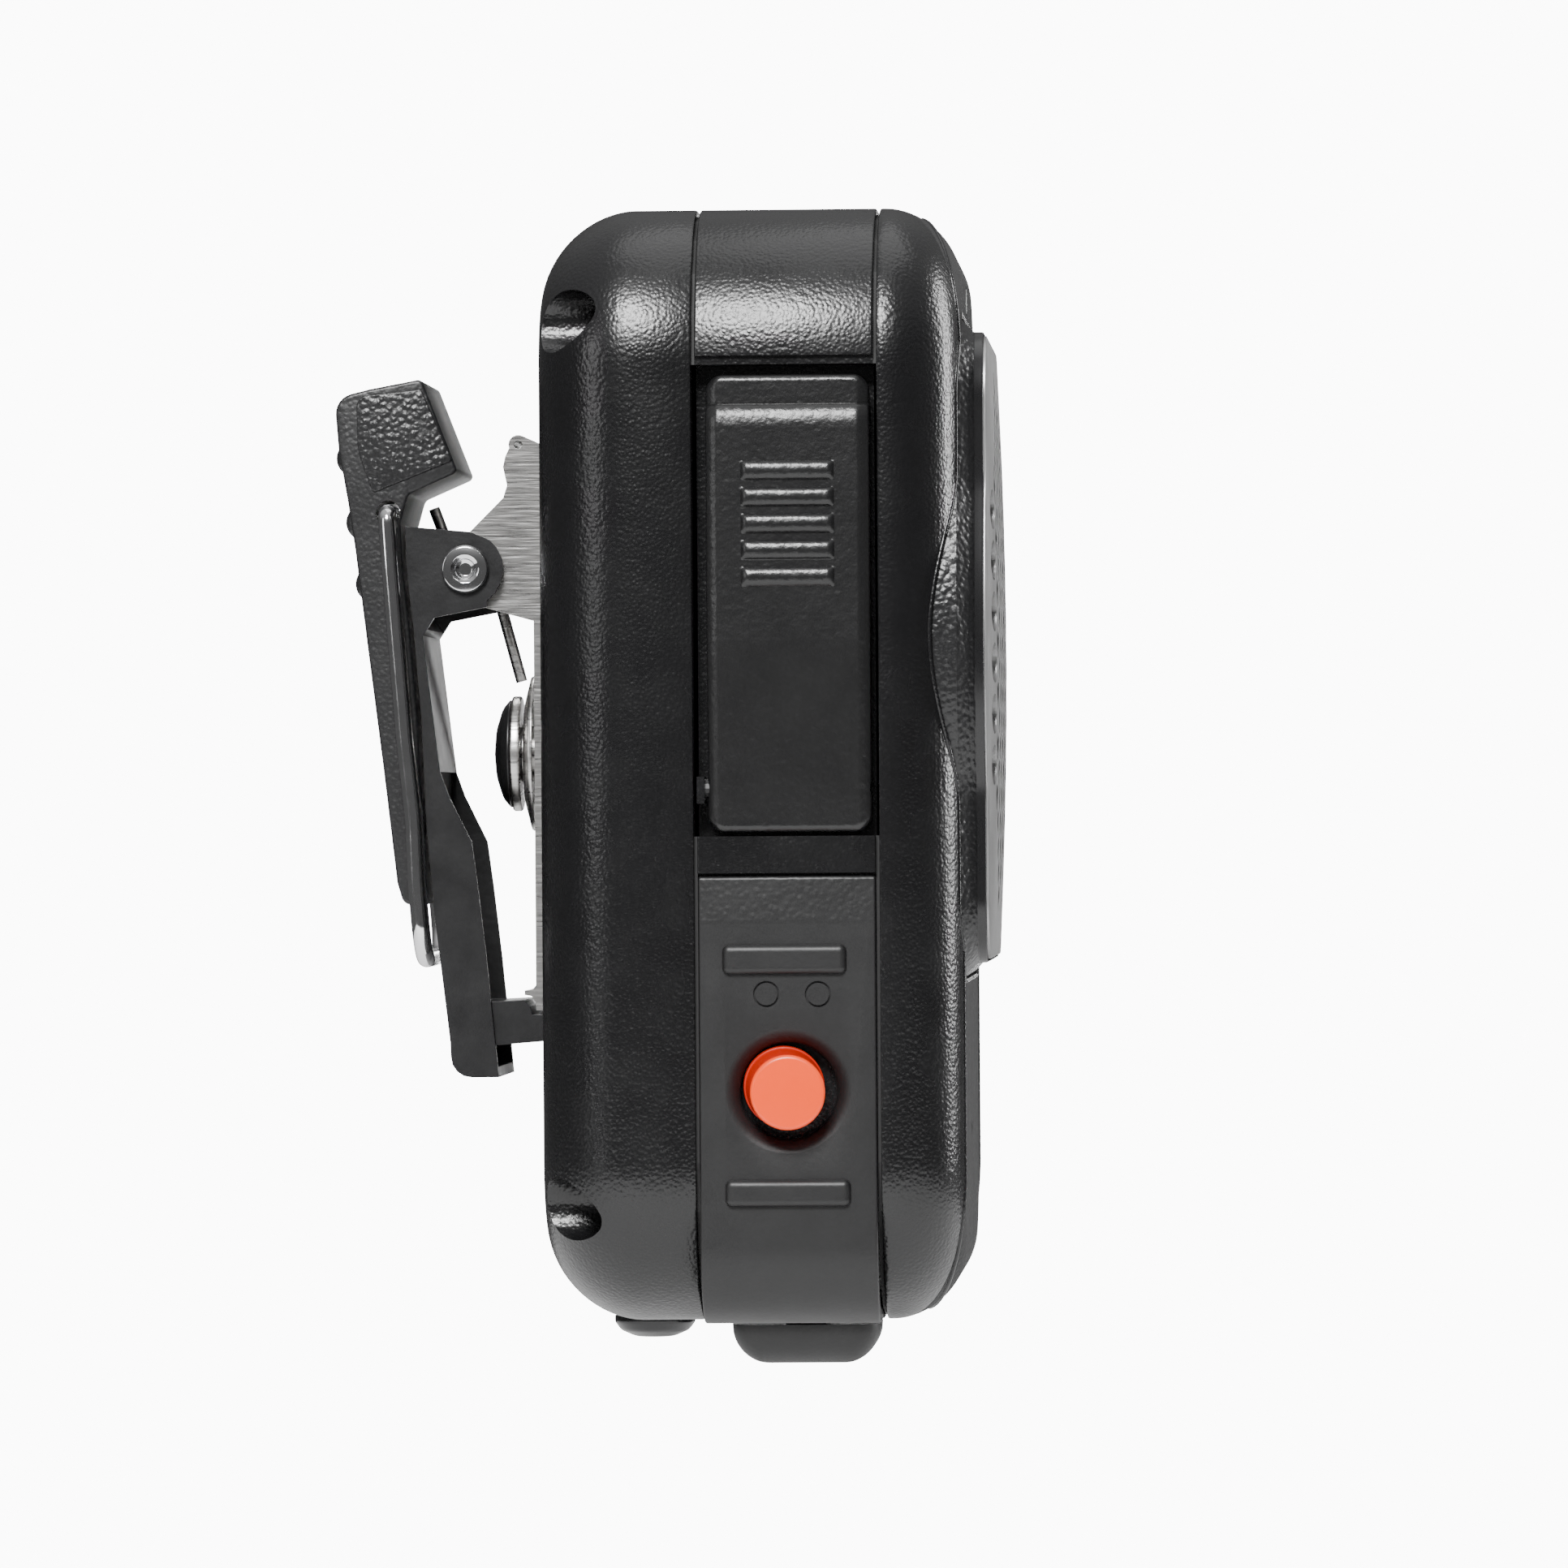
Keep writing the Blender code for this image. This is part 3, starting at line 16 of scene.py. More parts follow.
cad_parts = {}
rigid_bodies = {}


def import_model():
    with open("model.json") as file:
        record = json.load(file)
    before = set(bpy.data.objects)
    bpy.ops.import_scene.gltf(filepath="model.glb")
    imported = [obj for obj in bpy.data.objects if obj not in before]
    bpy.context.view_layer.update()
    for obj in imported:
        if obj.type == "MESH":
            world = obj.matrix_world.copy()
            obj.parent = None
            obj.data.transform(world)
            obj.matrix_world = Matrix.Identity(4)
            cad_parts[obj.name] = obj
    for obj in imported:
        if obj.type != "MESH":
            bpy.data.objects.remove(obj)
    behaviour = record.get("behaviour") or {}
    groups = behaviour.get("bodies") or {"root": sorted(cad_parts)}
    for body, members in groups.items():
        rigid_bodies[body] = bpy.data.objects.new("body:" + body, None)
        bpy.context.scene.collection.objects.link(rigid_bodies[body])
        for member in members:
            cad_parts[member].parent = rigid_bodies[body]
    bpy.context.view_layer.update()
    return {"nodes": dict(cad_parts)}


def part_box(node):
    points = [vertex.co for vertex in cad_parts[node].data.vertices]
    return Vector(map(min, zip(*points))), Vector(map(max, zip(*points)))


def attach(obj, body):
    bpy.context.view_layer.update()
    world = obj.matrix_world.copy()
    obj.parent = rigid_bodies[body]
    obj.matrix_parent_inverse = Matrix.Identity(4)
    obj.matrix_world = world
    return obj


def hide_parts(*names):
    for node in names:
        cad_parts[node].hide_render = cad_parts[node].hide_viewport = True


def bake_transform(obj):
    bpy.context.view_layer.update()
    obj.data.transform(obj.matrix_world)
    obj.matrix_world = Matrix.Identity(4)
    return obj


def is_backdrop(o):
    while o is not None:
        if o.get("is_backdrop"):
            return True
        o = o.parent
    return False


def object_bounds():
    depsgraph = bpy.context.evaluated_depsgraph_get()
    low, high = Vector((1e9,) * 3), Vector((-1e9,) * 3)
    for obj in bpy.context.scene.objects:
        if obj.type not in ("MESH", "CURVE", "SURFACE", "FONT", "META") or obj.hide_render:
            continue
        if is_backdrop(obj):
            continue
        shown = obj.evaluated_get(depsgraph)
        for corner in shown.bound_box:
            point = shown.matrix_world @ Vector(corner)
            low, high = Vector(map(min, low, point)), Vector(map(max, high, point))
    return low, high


for old in list(bpy.data.objects):
    bpy.data.objects.remove(old, do_unlink=True)
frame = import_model()

# ---------------------------------------------------------------- studio
# A product table in a pale room: a square soft box above the push-to-talk key's side, taller ones at the
# front and the rear, a wide faint one overhead, and a camera a long way off that looks at the key's side. The
# backdrop is white from every side, but it lights the radio only through a window the size of the first view.

MM = 0.001
band_low, band_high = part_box("mid_frame")
ZERO = np.array([0.0, (band_low.y + band_high.y) / 2 + 0.05 * MM, band_low.z])


def metres(points):
    """Points in millimetres in the radio's frame, as metres in the model's frame."""
    return np.asarray(points, float) * MM + ZERO


CAMERA = (-850.0, -38.1, 42.5)
AIM = (0.0, 1.47, 46.36)
VIEW_WIDTH = 138.0
ROLL = math.radians(0.4)

camera = bpy.data.objects.new("camera", bpy.data.cameras.new("camera"))
bpy.context.scene.collection.objects.link(camera)
bpy.context.scene.camera = camera
sight = Vector(metres(AIM)) - Vector(metres(CAMERA))
camera.location = metres(CAMERA)
camera.rotation_mode = "QUATERNION"
camera.rotation_quaternion = Matrix.Rotation(ROLL, 3, sight).to_quaternion() @ sight.to_track_quat("-Z", "Y")
camera.data.sensor_width = 36.0
camera.data.lens = camera.data.sensor_width * -CAMERA[0] / VIEW_WIDTH
camera.data.clip_start = 0.01

LIGHTS = (
    ("key_box", (-536, 90, 496), (220, 220), 10.0),
    ("front_box", (240, -600, 230), (110, 420), 4.0),
    ("rear_box", (-420, 560, 200), (160, 300), 0.6),
    ("top_box", (60, -60, 760), (500, 500), 1.0),
)
for name, place, size, power in LIGHTS:
    lamp = bpy.data.lights.new(name, "AREA")
    lamp.shape, lamp.size, lamp.size_y, lamp.energy = "RECTANGLE", size[0] * MM, size[1] * MM, power
    light = bpy.data.objects.new(name, lamp)
    bpy.context.scene.collection.objects.link(light)
    light.location = metres(place)
    light.rotation_mode = "QUATERNION"
    light.rotation_quaternion = (Vector(metres(AIM)) - light.location).to_track_quat("-Z", "Y")


class Wire:
    """A value on its way through a material's nodes. Arithmetic on it adds Math nodes."""

    def __init__(self, tree, socket=None):
        self.tree, self.socket = tree, socket

    def node(self, kind, settings, sockets, output=0):
        """Adds a node: its settings first, then values or wires into its sockets."""
        made = self.tree.nodes.new("ShaderNode" + kind)
        for name, value in settings.items():
            setattr(made, name, value)
        for name, value in sockets.items():
            if isinstance(value, Wire):
                self.tree.links.new(value.socket, made.inputs[name])
            else:
                made.inputs[name].default_value = value
        return Wire(self.tree, made.outputs[output])

    def math(self, operation, *values):
        return self.node("Math", {"operation": operation}, dict(enumerate(values)))

    def __add__(self, other):
        return self.math("ADD", self, other)

    __radd__ = __add__

    def __sub__(self, other):
        return self.math("SUBTRACT", self, other)

    def __rsub__(self, other):
        return self.math("SUBTRACT", other, self)

    def __mul__(self, other):
        return self.math("MULTIPLY", self, other)

    __rmul__ = __mul__

    def step(self, start, end):
        """A smooth step from 0 at start to 1 at end."""
        return self.node("MapRange", {"interpolation_type": "SMOOTHSTEP"},
                         {"Value": self, "From Min": start, "From Max": end})

    def mix(self, first, second):
        """A colour between two, by this wire."""
        return self.node("Mix", {"data_type": "RGBA"}, {0: self, 6: (*first, 1.0), 7: (*second, 1.0)}, 2)


HALF_WINDOW, WINDOW_EDGE, WINDOW_GLOW = 0.0835, 0.0035, 11.0
FLOOR_GLOW, CEILING_GLOW = 0.1, 0.5

world = bpy.data.worlds.new("room")
bpy.context.scene.world = world
world.use_nodes = True
room = Wire(world.node_tree)
direction = room.node("TexCoord", {}, {}, "Generated")


def towards(line):
    """How far a direction in the room leans towards a fixed line: the cosine of the angle between them."""
    return direction.node("VectorMath", {"operation": "DOT_PRODUCT"}, {0: direction, 1: line}, "Value")


window_sides = [towards(camera.rotation_quaternion @ Vector(line)) for line in ((1, 0, 0), (0, 1, 0))]
beside = room.math("MAXIMUM", *(room.math("ABSOLUTE", side) for side in window_sides))
through = 1.0 - beside.step(HALF_WINDOW, HALF_WINDOW + WINDOW_EDGE)
window = towards(sight.normalized()).step(0.5, 0.6) * through
above = direction.node("SeparateXYZ", {}, {0: direction}, "Z")
seen = room.node("LightPath", {}, {}, "Is Camera Ray")
strength = above.step(0.1, 1.0) * CEILING_GLOW + FLOOR_GLOW + room.math("MAXIMUM", window, seen) * WINDOW_GLOW
world.node_tree.links.new(strength.socket, world.node_tree.nodes["Background"].inputs["Strength"])
world.node_tree.nodes["Background"].inputs["Color"].default_value = (1.0, 1.0, 1.0, 1.0)

FLOOR_DROP, FLOOR_HALF = 60.0, 330.0
floor_corners = metres(np.array([(-1, -1, -1), (1, -1, -1), (1, 1, -1), (-1, 1, -1)]) * (
    FLOOR_HALF, FLOOR_HALF, FLOOR_DROP))
floor_mesh = bpy.data.meshes.new("floor")
floor_mesh.from_pydata(floor_corners.tolist(), [], [(0, 1, 2, 3)])
floor = bpy.data.objects.new("floor", floor_mesh)
bpy.context.scene.collection.objects.link(floor)
floor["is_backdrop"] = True
floor_finish = bpy.data.materials.new("pale_floor")
floor_finish.use_nodes = True
floor_finish.node_tree.nodes["Principled BSDF"].inputs["Base Color"].default_value = (0.9, 0.9, 0.9, 1.0)
floor_finish.node_tree.nodes["Principled BSDF"].inputs["Roughness"].default_value = 0.9
floor_mesh.materials.append(floor_finish)

# ---------------------------------------------------------------- rear housing
# The deep rear half of the case, moulded in black plastic with a fine leather grain. Four pockets at its
# corners take the case screws, and a boss in the middle of its back carries the clip's rivet.

BODY_HALF = band_high.x / MM
BODY_HEIGHT = (band_high.z - band_low.z) / MM
BODY_CORNER = 14.0
REAR_SEAM, REAR_FACE, REAR_ROUND, REAR_WALL = 7.85, 21.4, 8.2, 2.0
SCREWS = [(side * (BODY_HALF - 4.1), z) for z in (10.0, BODY_HEIGHT - 10.0) for side in (-1, 1)]
POCKET, POCKET_FLOOR = 2.7, 12.4
SWIVEL_Z, JACK_Y = 49.2, 13.15


def new_finish(name, roughness, metallic=0.0):
    """A material with its plain numbers set; returns it, its shader and a wire with the object's position."""
    finish = bpy.data.materials.new(name)
    finish.use_nodes = True
    shader = finish.node_tree.nodes["Principled BSDF"]
    shader.inputs["Roughness"].default_value = roughness
    shader.inputs["Metallic"].default_value = metallic
    place = Wire(finish.node_tree).node("TexCoord", {}, {}, "Object")
    return finish, shader, place


def feed(shader, **wires):
    """Leads wires into the shader's sockets."""
    for name, wire in wires.items():
        wire.tree.links.new(wire.socket, shader.inputs[name.replace("_", " ").title()])


def axis_of(place, letter):
    """One coordinate of a position, in metres."""
    return place.node("SeparateXYZ", {}, {0: place}, letter)


def speckle(place, size, detail=2.0):
    """Noise whose blobs are about size millimetres across."""
    return place.node("TexNoise", {}, {"Vector": place, "Scale": 0.5 / (size * MM), "Detail": detail})


def cells(place, size):
    """Rounded pebbles about size millimetres across, 1 in their middles and 0 in the valleys between."""
    return 1.0 - place.node("TexVoronoi", {"feature": "SMOOTH_F1"},
                            {"Vector": place, "Scale": 1.0 / (size * MM), "Smoothness": 0.6})


def bump(height, depth):
    """A normal from a height of 0 to 1 that stands for depth millimetres."""
    return height.node("Bump", {}, {"Strength": 1.0, "Distance": depth * MM, "Height": height})


def grained_plastic(name, dark, light, roughness, grain, depth):
    """Black plastic from a spark-eroded mould: pebbles of one size, broken up by finer noise."""
    finish, shader, place = new_finish(name, roughness)
    height = cells(place, grain) * 0.75 + speckle(place, grain * 0.45) * 0.5
    feed(shader, base_color=speckle(place, 6.0).mix(dark, light), normal=bump(height, depth),
         roughness=speckle(place, 2.5) * 0.14 + (roughness - 0.07))
    return finish


def make(name, rings, sharp=32, loop=False):
    """A closed solid from a stack of rings, an array of (ring, point, xyz): each ring joins the next, and the
    two end rings are capped, or join each other if the stack is a loop. Points that meet are merged."""
    count, around = rings.shape[:2]
    index = np.arange(count * around).reshape(count, around)
    here = index if loop else index[:-1]
    there = np.roll(index, -1, 0) if loop else index[1:]
    quads = np.stack([here, np.roll(here, -1, 1), np.roll(there, -1, 1), there], -1).reshape(-1, 4).tolist()
    caps = [] if loop else [index[end].tolist() for end in (0, -1) if np.ptp(rings[end], axis=0).max() > 0.01]
    return solid(name, rings.reshape(-1, 3), quads + caps, sharp)


def solid(name, points, faces, sharp=32):
    """An object from points in millimetres and faces, with doubles merged and faces turned outwards."""
    mesh = bpy.data.meshes.new(name)
    mesh.from_pydata(metres(points).tolist(), [], faces)
    bm = bmesh.new()
    bm.from_mesh(mesh)
    bmesh.ops.remove_doubles(bm, verts=bm.verts, dist=0.002 * MM)
    bmesh.ops.recalc_face_normals(bm, faces=bm.faces)
    bm.to_mesh(mesh)
    bm.free()
    made = bpy.data.objects.new(name, mesh)
    bpy.context.scene.collection.objects.link(made)
    return shade(made, sharp)


def shade(piece, sharp=32):
    """Smooth shading that breaks at edges sharper than an angle in degrees."""
    piece.data.shade_smooth()
    piece.data.set_sharp_from_angle(angle=math.radians(sharp))
    return piece


def bend(corners, radii, steps=10, loop=True):
    """A path through corners, each replaced by an arc of its radius that touches both straight runs: its
    centre lies on the corner's bisector, radius / sin(half the angle) away."""
    corners = np.asarray(corners, float)
    path = []
    for i, (corner, radius) in enumerate(zip(corners, radii)):
        if radius <= 0 or (not loop and i in (0, len(corners) - 1)):
            path.append(corner[None])
            continue
        before, after = corners[i - 1] - corner, corners[(i + 1) % len(corners)] - corner
        lengths = np.linalg.norm(before), np.linalg.norm(after)
        before, after = before / lengths[0], after / lengths[1]
        half = math.acos(np.clip(before @ after, -1, 1)) / 2
        reach = min(radius / math.tan(half), 0.49 * lengths[0], 0.49 * lengths[1])
        bisector = (before + after) / np.linalg.norm(before + after)
        centre = corner + bisector * reach / math.cos(half)
        first, last = corner + before * reach - centre, corner + after * reach - centre
        turn = math.pi - 2 * half
        share = np.linspace(0, turn, steps + 1)[:, None]
        path.append(centre + (np.sin(turn - share) * first + np.sin(share) * last) / math.sin(turn))
    path = np.concatenate(path)
    gap = np.linalg.norm(path - np.roll(path, 1, 0), axis=1) > 0.002
    return path[gap] if loop else path


def inset(outline, by):
    """A closed outline moved inwards: each point slides along the mitre of its two edges."""
    edge = np.roll(outline, -1, 0) - outline
    edge /= np.linalg.norm(edge, axis=1)[:, None]
    normal = np.stack([-edge[:, 1], edge[:, 0]], 1)
    if np.sum(outline[:, 0] * np.roll(outline[:, 1], -1) - np.roll(outline[:, 0], -1) * outline[:, 1]) < 0:
        normal = -normal
    before = np.roll(normal, 1, 0)
    return outline + by * (before + normal) / (1 + np.sum(before * normal, 1))[:, None]


PLANES = {"xz": (0, 2, 1), "yz": (1, 2, 0), "xy": (0, 1, 2)}


def stack(outline, profile, plane="xz"):
    """Rings for make(): every (inset, depth) of the profile gives the outline moved in by the inset, at that
    depth along the axis square to the outline's plane."""
    rings = np.empty((len(profile), len(outline), 3))
    first, second, third = PLANES[plane]
    for ring, (by, depth) in zip(rings, profile):
        ring[:, [first, second]] = inset(outline, by)
        ring[:, third] = depth
    return rings


def edged(start, end, edge, steps=5):
    """The profile of a plate from start to end with both rims rounded by quarter circles."""
    turn = np.linspace(0, math.pi / 2, steps)
    rim = np.stack([edge * (1 - np.sin(turn)), edge * (1 - np.cos(turn))], 1)
    way = math.copysign(1, end - start)
    near = np.stack([rim[:, 0], start + way * rim[:, 1]], 1)
    far = np.stack([rim[::-1, 0], end - way * rim[::-1, 1]], 1)
    return np.concatenate([near, far])


def turned(profile, centre, axis, steps=48):
    """Rings for make(): a profile of (radius, position) turned about an axis through the centre's two other
    coordinates."""
    profile = np.asarray(profile, float)
    angle = np.linspace(0, 2 * math.pi, steps, endpoint=False)
    rings = np.empty((len(profile), steps, 3))
    along = "xyz".index(axis)
    first, second = [i for i in range(3) if i != along]
    rings[..., first] = profile[:, :1] * np.cos(angle) + centre[0]
    rings[..., second] = profile[:, :1] * np.sin(angle) + centre[1]
    rings[..., along] = profile[:, 1:]
    return rings


def rod(centre, axis, radius, start, end, steps=48):
    """A round bar to cut or join with, along an axis from start to end."""
    return make("tool", turned([(radius, start), (radius, end)], centre, axis, steps))


def box(low, high):
    """A block to cut or join with, between two corners."""
    low, high = np.asarray(low, float), np.asarray(high, float)
    corners = bend([(low[0], low[1]), (high[0], low[1]), (high[0], high[1]), (low[0], high[1])], [0] * 4)
    return make("tool", stack(corners, [(0, low[2]), (0, high[2])], "xy"))


def carve(piece, operation, *tools, sharp=32):
    """Cuts, joins or keeps what a set of tools says, with exact Booleans that are applied at once."""
    for tool in tools:
        step = piece.modifiers.new("carve", "BOOLEAN")
        step.operation, step.solver, step.object = operation, "EXACT", tool
    bpy.context.view_layer.update()
    worked = bpy.data.meshes.new_from_object(piece.evaluated_get(bpy.context.evaluated_depsgraph_get()))
    piece.modifiers.clear()
    piece.data = worked
    for tool in tools:
        bpy.data.objects.remove(tool)
    return shade(piece, sharp)


def fit(piece, finish, body, slot, *nodes):
    """Gives a finished piece its material, the body it moves with and the nodes it stands for. The slot is not
    used.
    """
    piece.data.materials.clear()
    piece.data.materials.append(finish)
    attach(piece, body)
    if nodes:
        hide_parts(*nodes)
    return piece


def body_outline(side=0.0, end=None):
    """The case from the front, moved in by a wall at the sides and another at the ends."""
    end = side if end is None else end
    x, low, high = BODY_HALF - side, end, BODY_HEIGHT - end
    return bend([(-x, low), (x, low), (x, high), (-x, high)], [BODY_CORNER - side] * 4, 20)


def case_profile(seam, face, edge, wall=0.0):
    """From the seam, whose rim is barely rounded, straight out and then round the edge to the face. The edge
    is |u|^n + |v|^n = 1 with n a little under 2, so it is slightly flatter than a circle in its middle."""
    way = math.copysign(1, face - seam)
    turn = np.linspace(0, math.pi / 2, 18)
    edge, face = edge - wall, face - way * wall
    quarter = np.stack([edge * (1 - np.cos(turn) ** 1.07), face - way * edge * (1 - np.sin(turn) ** 1.07)], 1)
    if wall:
        return np.concatenate([[(0, seam - 3 * way)], quarter])
    return np.concatenate([[(0.2, seam), (0.06, seam + 0.05 * way), (0, seam + 0.2 * way)], quarter])


def screw_rods(radius, start, end, steps=32):
    """The same bar at each of the four case screws."""
    return [rod(place, "y", radius, start, end, steps) for place in SCREWS]


case_finish = grained_plastic("case_plastic", (0.0035, 0.0035, 0.0038), (0.006, 0.006, 0.0065),
                              roughness=0.27, grain=0.32, depth=0.042)
rear = make("rear_case", stack(body_outline(), case_profile(REAR_SEAM, REAR_FACE, REAR_ROUND)))
rear_room = make("tool", stack(body_outline(REAR_WALL),
                               case_profile(REAR_SEAM, REAR_FACE, REAR_ROUND, REAR_WALL)))
carve(rear_room, "DIFFERENCE", *screw_rods(POCKET + 1.5, 0, 40))
carve(rear, "DIFFERENCE", rear_room)
carve(rear, "UNION", rod((0, SWIVEL_Z), "y", 6.5, REAR_FACE - 1, REAR_FACE + 0.5))
carve(rear, "DIFFERENCE", *screw_rods(POCKET, POCKET_FLOOR, 40, 48), *screw_rods(1.3, 0, POCKET_FLOOR + 1),
      rod((0, SWIVEL_Z), "y", 2.7, 12, 26), rod((0, JACK_Y), "z", 2.5, -2, 4))
fit(rear, case_finish, "housing", "housing_plastic", "rear_housing")

# ---------------------------------------------------------------- side band
# The middle frame between the two halves, in the same grained plastic. It is cut away for the push-to-talk
# key, for the rubber keypad that wraps over its lower corner, and for the three keys on the other side.

BAND = (-7.65, 7.55)
KEY_WINDOW = (41.8, 82.0)
KEY_FLOOR = -BODY_HALF + 3.2
PAD_TOP, PAD_SKIN, PAD_END = 38.4, 1.3, -14.6
SIDE_KEYS = (("volume_up", 63.0, 5.0), ("volume_down", 50.0, 5.0), ("power", 33.0, 3.6))
SIDE_KEY_HALF = 3.2
HINGE = (KEY_FLOOR - 2.2, 45.9)
BUTTON = (-0.05, 20.1)

band = make("side_band", stack(body_outline(), edged(*BAND, 0.15)))
band_room = make("tool", stack(body_outline(4.4, 2.4), [(0, -10), (0, 10)]))
carve(band_room, "DIFFERENCE", *screw_rods(2.9, -20, 20))
pad_room = box((-BODY_HALF - 2, -20, -2), (PAD_END + 0.2, 20, PAD_TOP + 0.25))
carve(pad_room, "DIFFERENCE", make("tool", stack(body_outline(PAD_SKIN + 0.2), [(0, -24), (0, 24)])))
carve(band, "DIFFERENCE", band_room, pad_room,
      box((-BODY_HALF - 2, -20, KEY_WINDOW[0]), (KEY_FLOOR, 20, KEY_WINDOW[1])),
      box((-BODY_HALF - 2, -20, KEY_WINDOW[1] - 1), (-BODY_HALF + 0.45, 20, KEY_WINDOW[1] + 0.75)))
carve(band, "UNION", box((KEY_FLOOR - 3.4, 6.9, HINGE[1] - 1.3), (KEY_FLOOR + 0.5, BAND[1], HINGE[1] + 1.0)),
      box((KEY_FLOOR - 3.2, -5.6, HINGE[1] - 1.5), (KEY_FLOOR + 0.5, -4.2, HINGE[1] + 1.5)))
carve(band, "DIFFERENCE", *screw_rods(1.3, -20, 20), rod(HINGE, "y", 1.1, -20, 20, 24),
      rod(BUTTON, "x", 4.2, -BODY_HALF - 2, -26.3), rod(BUTTON, "x", 2.2, -BODY_HALF, -20),
      box((-4.5, -2.4, -2), (4.5, 1.7, 4)),
      *[box((20, -SIDE_KEY_HALF - 0.25, z - half - 0.25), (40, SIDE_KEY_HALF + 0.25, z + half + 0.25))
        for _, z, half in SIDE_KEYS])
fit(band, case_finish, "housing", "housing_plastic", "mid_frame")

# ---------------------------------------------------------------- front housing and its panel
# The shallow front half of the case. A smoother black panel is let into its face and wraps over both ends;
# a fine groove runs round it, and the speaker's frame divides it in two.

FRONT_SEAM, FRONT_FACE, FRONT_ROUND = -7.95, -14.9, 6.4
PANEL_HALF, PANEL_CORNER, PANEL_SKIN = BODY_HALF - 6.4, 10.5, 1.45
BEZEL_LOW, BEZEL_HIGH, BEZEL_HALF, BEZEL_CORNER = 29.5, BODY_HEIGHT - 9.6, BODY_HALF - 5.0, 7.0
BULGE, SPEAKER_Z = BODY_HALF - 1.8, 58.8
BEZEL_FACE, BEZEL_BACK = -16.9, -12.35
MIC_Z, LIGHT_Z = 16.0, BODY_HEIGHT - 7.3


def front_form(wall=0.0):
    """The whole front half of the case, moved in by a wall."""
    return make("tool", stack(body_outline(wall), case_profile(FRONT_SEAM, FRONT_FACE, FRONT_ROUND, wall)))


def panel_prism(gap):
    """The panel's outline from the front, a gap smaller, as a block through the front half."""
    x, low, high = PANEL_HALF - gap, -0.6, BODY_HEIGHT + 0.6
    outline = bend([(-x, low), (x, low), (x, high), (-x, high)], [PANEL_CORNER - gap] * 4, 24)
    return make("tool", stack(outline, [(0, -30), (0, 0)]))


def bezel_outline(by=0.0):
    """The speaker's frame from the front: a rounded rectangle whose sides run out into the circle of the
    speaker. The half width is the greater of the two, (a + b + sqrt((a - b)^2 + k^2)) / 2, so they blend."""
    low, high, corner = BEZEL_LOW + by, BEZEL_HIGH - by, BEZEL_CORNER - by
    z = np.linspace(low + corner, high - corner, 90)[1:-1]
    straight = BEZEL_HALF - by
    round_part = np.sqrt(np.maximum((BULGE - by) ** 2 - (z - SPEAKER_Z) ** 2, 0))
    side = (straight + round_part + np.sqrt((straight - round_part) ** 2 + 0.3)) / 2 - 0.05
    side = np.minimum(side, BULGE - by)
    turn = np.linspace(0, math.pi / 2, 12)
    lower = np.stack([straight - corner + corner * np.sin(turn), low + corner * (1 - np.cos(turn))], 1)
    upper = np.stack([straight - corner + corner * np.cos(turn), high - corner * (1 - np.sin(turn))], 1)
    right = np.concatenate([lower, np.stack([side, z], 1), upper])
    return np.concatenate([right, right[::-1] * (-1, 1)])


def bezel_prism(by, start=-30.0, end=0.0):
    """The speaker frame's outline moved in, as a block from start to end."""
    return make("tool", stack(bezel_outline(by), [(0, start), (0, end)]))


front = front_form()
front.name = "front_case"
front_room = make("tool", stack(body_outline(3.4), [(0, 1), (0, -9.2), (0.6, -10.2), (1.6, -10.6)]))
carve(front_room, "DIFFERENCE", *screw_rods(2.9, -30, 2))
panel_room = panel_prism(0.0)
carve(panel_room, "DIFFERENCE", front_form(PANEL_SKIN + 0.3))
carve(front, "DIFFERENCE", front_room, panel_room, bezel_prism(-0.2, -30, BEZEL_BACK + 0.3),
      rod((0, SPEAKER_Z), "y", 15, -30, 0), rod((0, MIC_Z), "y", 0.7, -30, 0, 16),
      rod((0, LIGHT_Z), "y", 1.4, -30, 0, 24), *screw_rods(1.3, -9.9, 1))
fit(front, case_finish, "housing", "housing_plastic", "front_housing")

panel_finish = grained_plastic("panel_plastic", (0.0035, 0.0035, 0.0038), (0.006, 0.006, 0.0065),
                               roughness=0.75, grain=0.5, depth=0.14)
panel = front_form()
panel.name = "front_panel"
carve(panel, "INTERSECT", panel_prism(0.22))
carve(panel, "DIFFERENCE", front_form(PANEL_SKIN), bezel_prism(-0.2), rod((0, MIC_Z), "y", 0.7, -30, 0, 16),
      rod((0, LIGHT_Z), "y", 1.4, -30, 0, 24))
fit(panel, panel_finish, "housing", "panel_plastic", "lower_panel", "upper_panel")


def face_depth(points):
    """Where the front of the case is at (x, z): the edge's curve by the distance in from the outline."""
    x, z = np.abs(points[:, 0]), points[:, 1]
    z = np.minimum(z, BODY_HEIGHT - z)
    into = np.stack([np.maximum(x - BODY_HALF + BODY_CORNER, 0), np.maximum(BODY_CORNER - z, 0)], 1)
    deep = BODY_CORNER - np.hypot(into[:, 0], into[:, 1])
    deep = np.where((into > 0).all(1), deep, np.minimum(BODY_HALF - x, z))
    round_part = (1 - np.clip(deep / FRONT_ROUND, 0, 1)) ** (1 / 1.07)
    return FRONT_FACE + FRONT_ROUND * (1 - np.sqrt(np.maximum(1 - round_part ** 2, 0)) ** 1.07)


